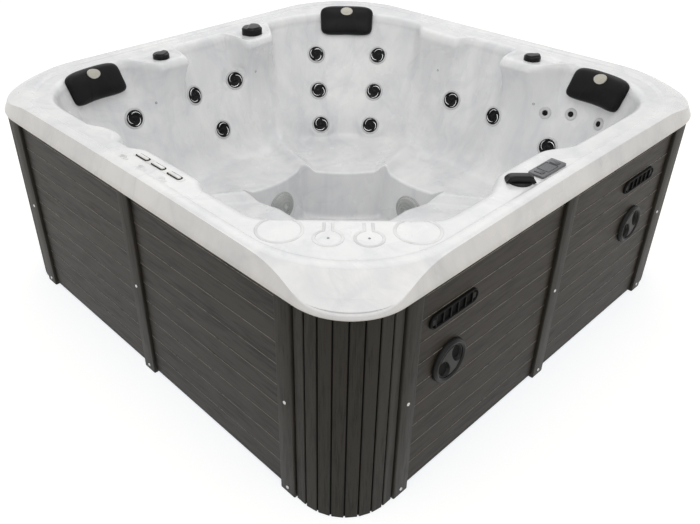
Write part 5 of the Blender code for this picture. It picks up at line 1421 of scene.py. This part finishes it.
def knobMesh(radius, height, grip, width):
    # a low moulding with a bar across its top
    kit = controls

    def top(x, y):
        reach = np.hypot(x, y)
        side = smoothStep(np.abs(x - width * kit["barShift"]), *(width * share for share in kit["barEase"]))
        bar = (1 - side) * (1 - smoothStep(reach, *(radius * share for share in kit["barEnd"])))
        crown = kit["crown"] * (1 - (reach / radius) ** 2)
        rim = kit["rimDrop"] * smoothStep(reach, *(radius * share for share in kit["rimEase"]))
        return height + crown + grip * bar - rim

    sink = tub["shelfDepth"] + kit["sinkClear"]
    return discField("knob", radius, top, -sink, rings=44, sides=132, edge=kit["knobEdge"],
                     smoothAngle=50.0)


def swellLobes(mesh, radius, count, swell):
    # a knob's outline swells into lobes
    for vert in mesh.vertices:
        turn, reach = math.atan2(vert.co.y, vert.co.x), math.hypot(vert.co.x, vert.co.y)
        out = 1 + swell * math.cos(count * turn) * min(1.0, reach / radius)
        vert.co.x *= out
        vert.co.y *= out
    return mesh


def buildKnobs():
    kit = controls
    stem = turnedMesh("stem", kit["stem"], 28)
    for name, (spot, turn) in kit["airKnobs"].items():
        knob = knobMesh(kit["airRadius"], kit["airHeight"], kit["airGrip"], kit["airBar"])
        whole = gathered(name + "_cap", [(knob, rimPlace(spot, turn)), (stem, rimPlace(spot))], "black")
        addPiece(name + "_cap", whole, name, standsFor=[name])
    radius, spot = kit["diverterRadius"], kit["diverter"]
    knob = knobMesh(radius, kit["diverterHeight"], kit["diverterGrip"], kit["diverterBar"])
    swellLobes(knob, radius, kit["diverterLobes"], kit["lobeSwell"])
    whole = gathered("diverter_cap", [(knob, rimPlace(spot, kit["diverterTurn"])), (stem, rimPlace(spot))],
                     "black")
    addPiece("diverter_cap", whole, "diverter_knob", standsFor=["diverter_knob"])


lever = {
    "place": (0.927, -0.175), "turn": 45.0, "discRadius": 0.0377, "discHeight": 0.007,
    "discBottom": -0.0002, "discEdge": 0.0015, "discEase": (0.026, 0.0378), "discDrop": 0.25,
    # the grip: half its length and width, its foot, its height at the ends' lowest and at its top
    "gripReach": 0.046, "gripHalf": 0.020, "gripFoot": 0.0015, "gripBase": 0.006, "gripTop": 0.0245,
    "lowShare": 0.42, "endPower": 5, "endEase": (0.93, 1.0), "endDrop": 0.5, "endWidth": 0.80,
    "squareness": 0.34, "topNarrow": 0.26, "topShort": 0.13, "sections": 41, "sides": 40,
}


def signedPower(value, power):
    return np.copysign(np.abs(value) ** power, value)


def gripSection(share):
    # a rounded section of the grip, lower towards the ends and leaning in towards its top
    kit = lever
    turns = fullTurn(kit["sides"])
    lift = math.sqrt(1 - abs(share) ** kit["endPower"])
    full = kit["lowShare"] + (1 - kit["lowShare"]) * lift
    full = full * (1 - smoothStep(abs(share), *kit["endEase"]) * kit["endDrop"])
    height = between(kit["gripBase"], kit["gripTop"], full)
    half = kit["gripHalf"] * between(kit["endWidth"], 1.0, lift)
    across = signedPower(np.cos(turns), kit["squareness"])
    up = signedPower(np.sin(turns), kit["squareness"])
    above = np.maximum(0.0, up)
    return np.column_stack((kit["gripReach"] * share * (1 - kit["topShort"] * above),
                            half * across * (1 - kit["topNarrow"] * above),
                            between(kit["gripFoot"], height, (up + 1) / 2)))


def buildHandle():
    kit = lever

    def top(x, y):
        return kit["discHeight"] * (1 - kit["discDrop"] * smoothStep(np.hypot(x, y), *kit["discEase"]))

    disc = discField("handleDisc", kit["discRadius"], top, kit["discBottom"], rings=20, sides=96,
                     edge=kit["discEdge"])
    grid = np.array([gripSection(share) for share in np.linspace(-1.0, 1.0, kit["sections"])])
    first, last = [np.tile(grid[index].mean(axis=0), (1, kit["sides"], 1)) for index in (0, -1)]
    grip = closedMesh(meshFromGrid("handleGrip", np.concatenate((first, grid, last))), 50.0)
    stem = turnedMesh("stem", controls["stem"], 28)
    flat = rimPlace(kit["place"])
    parts = [(disc, flat), (grip, rimPlace(kit["place"], kit["turn"])), (stem, flat)]
    whole = smoothed(gathered("diverter_lever", parts, "black"), 50.0)
    addPiece("diverter_lever", whole, "diverter_handle", standsFor=["diverter_handle"])


def roundedBox(halfWidth, halfLength, radius, steps=6, least=0.0004):
    # a box with round corners; gives a function of the inset
    def outlineAt(inset):
        wide, long = halfWidth - inset, halfLength - inset
        corners = ((wide, -long), (wide, long), (-wide, long), (-wide, -long))
        return roundedLine(corners, [max(radius - inset, least)] * 4, steps)
    return outlineAt


panel = {
    "place": (0.941, -0.044), "half": (0.028, 0.07), "corner": 0.006, "bottom": -0.0037, "top": 0.008,
    "edge": 0.0018, "screenHalf": (0.0225, 0.0295), "screenCorner": 0.004, "screenInset": 0.0018,
    # heights from the panel's top; the frame's points also have an inset
    "screenRange": (-0.0004, 0.0003),
    "frame": ((0.0, -0.0002), (0.0004, 0.0009), (0.0016, 0.0009), (0.0022, -0.0002)),
    "keyHalf": (0.016, 0.011), "keyCorner": 0.005, "keyOffset": 0.045, "keyRange": (-0.004, 0.002),
    "keyEdge": 0.0012,
}


def liftedPrism(name, outline, heights, level, bevel=0.0, segments=2):
    # a prism between two heights counted from a level
    low, high = heights
    return prismMesh(name, outline.tolist(), level + low, level + high, bevel, segments)


def buildControlPanel():
    kit = panel
    place, top = rimPlace(kit["place"]), kit["top"]
    outline = roundedBox(*kit["half"], kit["corner"])(0.0)
    case = prismMesh("panelCase", outline.tolist(), kit["bottom"], top, kit["edge"], 3)
    addPiece("control_case", placed(case, place), "tub", "panel", ["control_panel"])
    # a sunken screen in the middle, held by a thin frame
    opening = roundedBox(*kit["screenHalf"], kit["screenCorner"])
    rim = frameMesh("screenFrame", opening, [(inset, top + rise) for inset, rise in kit["frame"]])
    screen = liftedPrism("screen", opening(kit["screenInset"]), kit["screenRange"], top)
    for mesh, name, finish in ((rim, "control_frame", "black"), (screen, "control_screen", "screen")):
        addPiece(name, placed(mesh, place), "tub", finish, ["control_panel"])
    outline = roundedBox(*kit["keyHalf"], kit["keyCorner"])(0.0)
    for name, hand in (("key_near", -1), ("key_far", 1)):
        key = liftedPrism(name + "_cap", outline, kit["keyRange"], top, kit["keyEdge"], 3)
        aside = Matrix.Translation((0.0, hand * kit["keyOffset"], 0.0))
        addPiece(name + "_cap", placed(key, place @ aside), name, "screen", [name])


outlet = {
    "centre": (0.07, -0.921), "length": 0.27, "depth": 0.026, "corner": 0.008, "slots": 3,
    "bedRange": (-0.0037, 0.0016), "bedEdge": 0.0008,
    "slotHalf": (0.035, 0.011), "slotCorner": 0.009, "barInset": 0.00486, "barRange": (0.0008, 0.007),
    "barEdge": 0.0022,
    # inset and height of each point round the dark gap, a painted shadow round each bar
    "gapProfile": ((0.0, 0.0008), (0.0003, 0.0024), (0.0054, 0.0024), (0.0054, 0.0008)),
}


def buildOutlet():
    kit = outlet
    place = rimPlace(kit["centre"])
    pitch = kit["length"] / kit["slots"]
    outline = roundedBox(kit["length"] / 2, kit["depth"] / 2, kit["corner"])(0.0)
    bed = liftedPrism("outletBed", outline, kit["bedRange"], 0.0, kit["bedEdge"])
    addPiece("outlet_bed", placed(bed, place), "tub", "white", ["water_outlet"])
    # each slot is a white bar with a near-black frame round it: painted shadow in the gap
    slot = roundedBox(*kit["slotHalf"], kit["slotCorner"])
    gap = frameMesh("gap", slot, kit["gapProfile"])
    bar = liftedPrism("bar", slot(kit["barInset"]), kit["barRange"], 0.0, kit["barEdge"], 3)
    for mesh, ending, finish in ((gap, "gaps", "gap"), (bar, "bars", "white")):
        row = rowOf("outlet_" + ending, mesh, kit["slots"], (-pitch, 0.0, 0.0), (pitch, 0.0, 0.0), finish)
        addPiece("outlet_" + ending, placed(row, place), "tub",
                 standsFor=["water_outlet"])


# Embossed lines on the deck and the rim

emboss = {
    "bead": 0.0048, "flatten": 0.24, "beadSides": 12, "deckEdge": 1.035,
    "cupReach": 1.115, "cupOffset": 0.056, "cupRadius": 0.04, "neckHalf": 0.012, "cupSteps": 40,
    "glassReach": 1.075, "glassOffset": 0.192, "glassRadius": 0.065, "glassSteps": 36,
    # in degrees: where the larger ring starts and how far it goes
    "glassStart": 35.0, "glassTurn": 290.0,
    "swirls": ((-0.069, -0.970), (0.039, -0.971), (0.146, -0.966)), "swirlRadius": 0.024,
    "curls": 3, "curlSteps": 15, "curlTurn": 2.6, "curlStart": 0.25, "curlSquash": 0.75,
    "drainRadius": 0.004,
    # share of the radius, and height
    "drain": ((0.0, 0.0006), (0.5, 0.0006), (0.8, 0.0012), (1.0, 0.0003), (1.0, -0.001), (0.0, -0.001)),
}


def beadTree():
    # a thin round bead that follows each line of the input
    tree, given = newTree("Bead along lines", (("Radius", "Float"), ("Place", "Vector"),
                                               ("Material", "Material")))
    lines = put(tree, "GeometryNodeMeshToCurve", Mesh=given["Geometry"])
    profile = put(tree, "GeometryNodeCurvePrimitiveCircle", Resolution=emboss["beadSides"],
                  Radius=given["Radius"])
    bead = put(tree, "GeometryNodeCurveToMesh", Curve=lines.outputs["Curve"],
               Profile_Curve=profile.outputs["Curve"], Fill_Caps=True)
    flat = put(tree, "GeometryNodeTransform", Geometry=bead.outputs["Mesh"], Translation=given["Place"],
               Scale=(1.0, 1.0, emboss["flatten"]))
    endTree(tree, flat.outputs["Geometry"], given["Material"])
    return tree


def deckSpot(reach, offset):
    # a place on the near corner's deck: its reach from the middle and its offset along the corner
    slant = math.sqrt(0.5)
    return (slant * reach + slant * offset, -slant * reach + slant * offset)


def deckLine(spots, offset):
    return [deckSpot(reach, offset + aside) for reach, aside in spots]


def openRing(reach, radius, start, turn, steps):
    # part of a ring, counted from the side that faces the pool
    angles = [start + turn * step / steps for step in range(steps + 1)]
    return [(reach - radius * math.cos(angle), -radius * math.sin(angle)) for angle in angles]


def cupLine(hand):
    # a ring with a neck that runs to the edge of the pool
    kit = emboss
    opening = math.asin(kit["neckHalf"] / kit["cupRadius"])
    ring = openRing(kit["cupReach"], kit["cupRadius"], opening, 2 * math.pi - 2 * opening, kit["cupSteps"])
    first, last = [(kit["deckEdge"], side * kit["neckHalf"]) for side in (-1, 1)]
    return deckLine([first, *ring, last], hand * kit["cupOffset"])


def glassLine(hand):
    # a larger ring that opens towards the pool
    kit = emboss
    start, turn = math.radians(kit["glassStart"]), math.radians(kit["glassTurn"])
    ring = openRing(kit["glassReach"], kit["glassRadius"], start, turn, kit["glassSteps"])
    return deckLine(ring, hand * kit["glassOffset"])


def swirlLines(centre):
    # short curls round a middle
    kit = emboss
    lines = []
    for number in range(kit["curls"]):
        spots = []
        for step in range(kit["curlSteps"] + 1):
            share = step / kit["curlSteps"]
            turn = 2 * math.pi * number / kit["curls"] + kit["curlTurn"] * share
            reach = kit["swirlRadius"] * between(kit["curlStart"], 1.0, share)
            spots.append((centre[0] + reach * math.cos(turn),
                          centre[1] + kit["curlSquash"] * reach * math.sin(turn)))
        lines.append(spots)
    return lines


def buildEmboss():
    kit = emboss
    lines = [cupLine(-1), cupLine(1), glassLine(-1), glassLine(1)]
    for centre in kit["swirls"]:
        lines += swirlLines(centre)
    # the beads are tinted darker than the shell: painted shade along each line
    values = {"Radius": kit["bead"], "Place": (0.0, 0.0, tub["rimInner"]), "Material": finishes["lineShade"]}
    addPiece("deck_lines", grownMesh("deck_lines", lineMesh("embossLines", lines), beadTree(), values),
             "tub")
    dot = turnedMesh("dot", scaled(kit["drain"], kit["drainRadius"]), 24)
    dots = [(dot, rimPlace(deckSpot(kit["cupReach"], hand * kit["cupOffset"]))) for hand in (-1, 1)]
    addPiece("deck_drains", gathered("deck_drains", dots, "grey"), "tub")


buildKnobs()
buildHandle()
buildControlPanel()
buildOutlet()
buildEmboss()
print("controls made")


# Head pillows: moulded foam, bent along the wall that they hang on

pillows = {
    "width": 0.29, "height": 0.14, "thickness": 0.08, "stand": 0.01, "clear": 0.001, "least": 0.0016,
    "sideDraw": 0.05, "outlinePower": 0.46, "crownPower": 0.8,
    "columns": 192, "rows": 60, "weld": 0.00001, "seatColumns": 25, "seatRows": 9,
    # the raised middle panel: half its width at the top and the bottom, and the crease round it
    "panelTop": 0.030, "panelBottom": 0.072, "panelRise": 0.0022, "panelEase": 0.006,
    "crease": 0.0016, "creaseWidth": 0.0035,
    # where the panel starts and ends, as shares of the height
    "fadeLow": (-0.47, -0.36), "fadeHigh": (0.30, 0.42),
    "badgeWidth": 0.033, "badgeHeight": 0.0185, "badgeDrop": 0.031, "badgeCrown": 0.9,
    # share of the plate's size, and height over the pad
    "badge": ((0.0, 0.0016), (0.5, 0.0016), (0.86, 0.0014), (0.93, 0.0020), (0.98, 0.0018),
              (1.0, 0.0008), (1.0, -0.003), (0.0, -0.003)),
    # direction and level of the middle
    "places": {"pillow_left": (215.5, 0.785), "pillow_corner": (134.0, 0.81),
               "pillow_right": (53.9, 0.78)},
}


def turnAlong(start, level, distance, stride=0.012, look=0.01):
    # the direction reached after that distance along the wall
    turn = math.radians(start)
    steps = max(1, round(abs(distance) / stride))
    for _ in range(steps):
        here = float(wallReach(turn, level)[0])
        there = float(wallReach(turn + look, level)[0])
        across = Vector((there * math.cos(look) - here, there * math.sin(look))).length / look
        turn += distance / steps / across
    return turn


def pillowFrames(degrees, level):
    # wall seats on a grid, blended between for every point of the pad
    kit = pillows
    xs = np.linspace(-kit["width"] / 2, kit["width"] / 2, kit["seatColumns"])
    ys = np.linspace(-kit["height"] / 2, kit["height"] / 2, kit["seatRows"])
    turns = [math.degrees(turnAlong(degrees, level, -x)) for x in xs]
    seats = np.array([[np.array(wallSeat(wallReach, turn, level + y)) for y in ys] for turn in turns])
    origins, normals = seats[:, :, :3, 3], seats[:, :, :3, 2]

    def cells(value, line):
        # the number of the cell that a value falls in, and the share of it that is passed
        along = np.clip((value - line[0]) / (line[1] - line[0]), 0, len(line) - 1.0001)
        return along.astype(int), (along - along.astype(int))[:, None]

    def place(x, y, z):
        i, a = cells(x, xs)
        j, b = cells(y, ys)
        mix = lambda field: (field[i, j] * (1 - a) * (1 - b) + field[i + 1, j] * a * (1 - b)
                             + field[i, j + 1] * (1 - a) * b + field[i + 1, j + 1] * a * b)
        normal = mix(normals)
        normal = normal / np.linalg.norm(normal, axis=1)[:, None]
        return mix(origins) + normal * z[:, None]
    return place


def pillowFace(x, y, height):
    # the raised middle panel with a crease down each of its sides
    kit = pillows
    share = np.clip((kit["height"] / 2 - y) / kit["height"], 0, 1)
    away = np.abs(x) - between(kit["panelTop"], kit["panelBottom"], share)
    front = np.clip(height / (kit["thickness"] / 2), 0, 1) ** 2
    rise = smoothStep(y / kit["height"], *kit["fadeLow"])
    fade = rise * (1 - smoothStep(y / kit["height"], *kit["fadeHigh"]))
    step = kit["panelRise"] * smoothStep(away, -kit["panelEase"], kit["panelEase"])
    groove = kit["crease"] * np.exp(-(away / kit["creaseWidth"]) ** 2)
    return height - front * fade * (step + groove)


def pillowMesh(name, place):
    # rounded rows from the front of the pad to its back, crowned and drawn in between the corners
    kit = pillows
    half = [kit[side] / 2 - kit["clear"] for side in ("width", "height")]
    turns = fullTurn(kit["columns"])
    grid = []
    for row in range(kit["rows"] + 1):
        rise = math.pi / 2 - math.pi * row / kit["rows"]
        out = abs(math.cos(rise)) ** kit["crownPower"] if 0 < row < kit["rows"] else 0.0
        across = out * signedPower(np.cos(turns), kit["outlinePower"])
        along = out * signedPower(np.sin(turns), kit["outlinePower"])
        x = half[0] * across * (1 - kit["sideDraw"] * (1 - along * along))
        y = half[1] * along * (1 - kit["sideDraw"] * (1 - across * across))
        lift = math.copysign(abs(math.sin(rise)) ** kit["crownPower"], rise)
        z = pillowFace(x, y, np.full(len(turns), kit["thickness"] / 2 * lift)) + kit["stand"]
        grid.append(place(x, y, np.maximum(z, kit["least"])))
    return closedMesh(meshFromGrid(name, np.array(grid)), 60.0, kit["weld"])


def plateMesh(name, place):
    # a plain oval plate near the top edge, bent with the pad
    kit = pillows
    turns = fullTurn(64)
    drop = kit["height"] / 2 - kit["badgeDrop"]
    grid = []
    for share, lift in kit["badge"]:
        x = kit["badgeWidth"] * share * np.cos(turns)
        y = drop + kit["badgeHeight"] * share * np.sin(turns)
        crown = 1 - (np.abs(y) / (kit["height"] / 2)) ** 4 * kit["badgeCrown"]
        z = kit["stand"] + kit["thickness"] / 2 * np.sqrt(np.clip(crown, 0, 1)) + lift
        grid.append(place(x, y, z))
    return closedMesh(meshFromGrid(name, np.array(grid)), 30.0)


def buildPillows():
    for name, (degrees, level) in pillows["places"].items():
        place = pillowFrames(degrees, level)
        pad = addPiece(name + "_pad", pillowMesh(name + "_pad", place), "tub",
                       "foam", [name])
        addPiece(name + "_plate", plateMesh(name + "_plate", place), "tub", "badge")


buildPillows()
print("pillows made")


# What the panels hide keeps its frame shape and gets its finish

hidden = {
    "base_tray": "base", "support_frame": "timber", "pump_motor": "motor", "pump_housing": "base",
    "heater": "steel", "control_box": "grey", "suction_pipe": "white", "pressure_pipe": "white",
}
for name, finish in hidden.items():
    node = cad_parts[name]
    node.data.materials.clear()
    node.data.materials.append(finishes[finish])
print("inner parts finished")


# Floor, lights and camera

studio = {
    "floorSize": 60.0, "floorColour": (0.50, 0.430, 0.335), "floorGlow": (0.970, 1.030, 1.100),
    "glowStrength": 0.73, "white": 1.0, "worldColour": (1.0, 0.992, 0.978), "worldLight": 0.60,
    # place, what it points at, width and height, energy, colour
    "lights": {
        "keyLight": ((4.6, -2.4, 2.6), (0.0, 0.0, 0.5), (3.0, 2.2), 20.0, (1.0, 0.955, 0.89)),
        "fillLight": ((-1.6, -4.8, 2.4), (0.0, 0.0, 0.5), (3.0, 2.2), 9.0, (1.0, 0.965, 0.91)),
        "backLight": ((-2.3, 2.5, 4.1), (0.1, -0.1, 0.6), (4.0, 3.0), 42.0, (0.98, 0.985, 1.0)),
        "topLight": ((0.9, -0.9, 4.6), (0.6, -0.6, 0.8), (3.0, 3.0), 43.0, (1.0, 0.99, 0.97)),
    },
    "camera": (1.9445, -2.0076, 1.9115), "yaw": 136.09, "pitch": -32.70, "lens": 37.805,
    "sensor": 36.0, "shift": (0.0421, -0.0299),
}


def directView(tree):
    # 1 for the camera, and for what mirrors and glass show
    rays = put(tree, "ShaderNodeLightPath").outputs
    seen = mathNode(tree, "MAXIMUM", rays["Is Camera Ray"], rays["Is Glossy Ray"])
    return mathNode(tree, "MAXIMUM", seen, rays["Is Transmission Ray"])


def endSurface(tree, kind, shader):
    end = put(tree, kind)
    tree.links.new(shader.outputs[0], end.inputs["Surface"])


def buildFloor():
    # pale paint that looks white where no shadow lies on it
    shape = bmesh.new()
    bmesh.ops.create_grid(shape, x_segments=1, y_segments=1, size=studio["floorSize"] / 2)
    mesh = bpy.data.meshes.new("studioFloor")
    shape.to_mesh(mesh)
    shape.free()
    material = bpy.data.materials.new("floorPaint")
    material.use_nodes = True
    tree = material.node_tree
    tree.nodes.clear()
    paint = put(tree, "ShaderNodeBsdfDiffuse", Color=(*studio["floorColour"], 1.0)).outputs[0]
    glow = put(tree, "ShaderNodeEmission", Color=(*studio["floorGlow"], 1.0),
               Strength=studio["glowStrength"])
    lit = put(tree, "ShaderNodeAddShader", i0=paint, i1=glow.outputs[0])
    mixed = put(tree, "ShaderNodeMixShader", Fac=directView(tree), i1=paint, i2=lit.outputs[0])
    endSurface(tree, "ShaderNodeOutputMaterial", mixed)
    mesh.materials.append(material)
    floor = bpy.data.objects.new("studioFloor", mesh)
    bpy.context.scene.collection.objects.link(floor)


def buildWorld():
    world = bpy.data.worlds.new("studioWorld")
    bpy.context.scene.world = world
    world.use_nodes = True
    tree = world.node_tree
    tree.nodes.clear()
    light = put(tree, "ShaderNodeBackground", Color=(*studio["worldColour"], 1.0),
                Strength=studio["worldLight"])
    white = put(tree, "ShaderNodeBackground", Color=(1.0, 1.0, 1.0, 1.0), Strength=studio["white"])
    mixed = put(tree, "ShaderNodeMixShader", Fac=directView(tree), i1=light.outputs[0],
                i2=white.outputs[0])
    endSurface(tree, "ShaderNodeOutputWorld", mixed)


def addLight(name, place, target, size, energy, colour):
    data = bpy.data.lights.new(name, "AREA")
    data.shape = "RECTANGLE"
    data.size, data.size_y = size
    data.energy = energy
    data.color = colour
    lamp = bpy.data.objects.new(name, data)
    bpy.context.scene.collection.objects.link(lamp)
    lamp.location = place
    lamp.rotation_euler = (Vector(target) - Vector(place)).to_track_quat("-Z", "Y").to_euler()


def buildCamera():
    yaw, pitch = math.radians(studio["yaw"]), math.radians(studio["pitch"])
    ahead = Vector((math.cos(yaw) * math.cos(pitch), math.sin(yaw) * math.cos(pitch), math.sin(pitch)))
    right = Vector((math.sin(yaw), -math.cos(yaw), 0.0))
    upward = right.cross(ahead)
    data = bpy.data.cameras.new("camera")
    data.sensor_width = studio["sensor"]
    data.lens = studio["lens"]
    data.shift_x, data.shift_y = studio["shift"]
    camera = bpy.data.objects.new("camera", data)
    bpy.context.scene.collection.objects.link(camera)
    axes = Matrix((right, upward, -ahead)).transposed().to_4x4()
    camera.matrix_world = Matrix.Translation(studio["camera"]) @ axes
    bpy.context.scene.camera = camera


buildFloor()
buildWorld()
for name, values in studio["lights"].items():
    addLight(name, *values)
buildCamera()
bpy.context.scene.view_settings.view_transform = "Standard"
print("studio made")
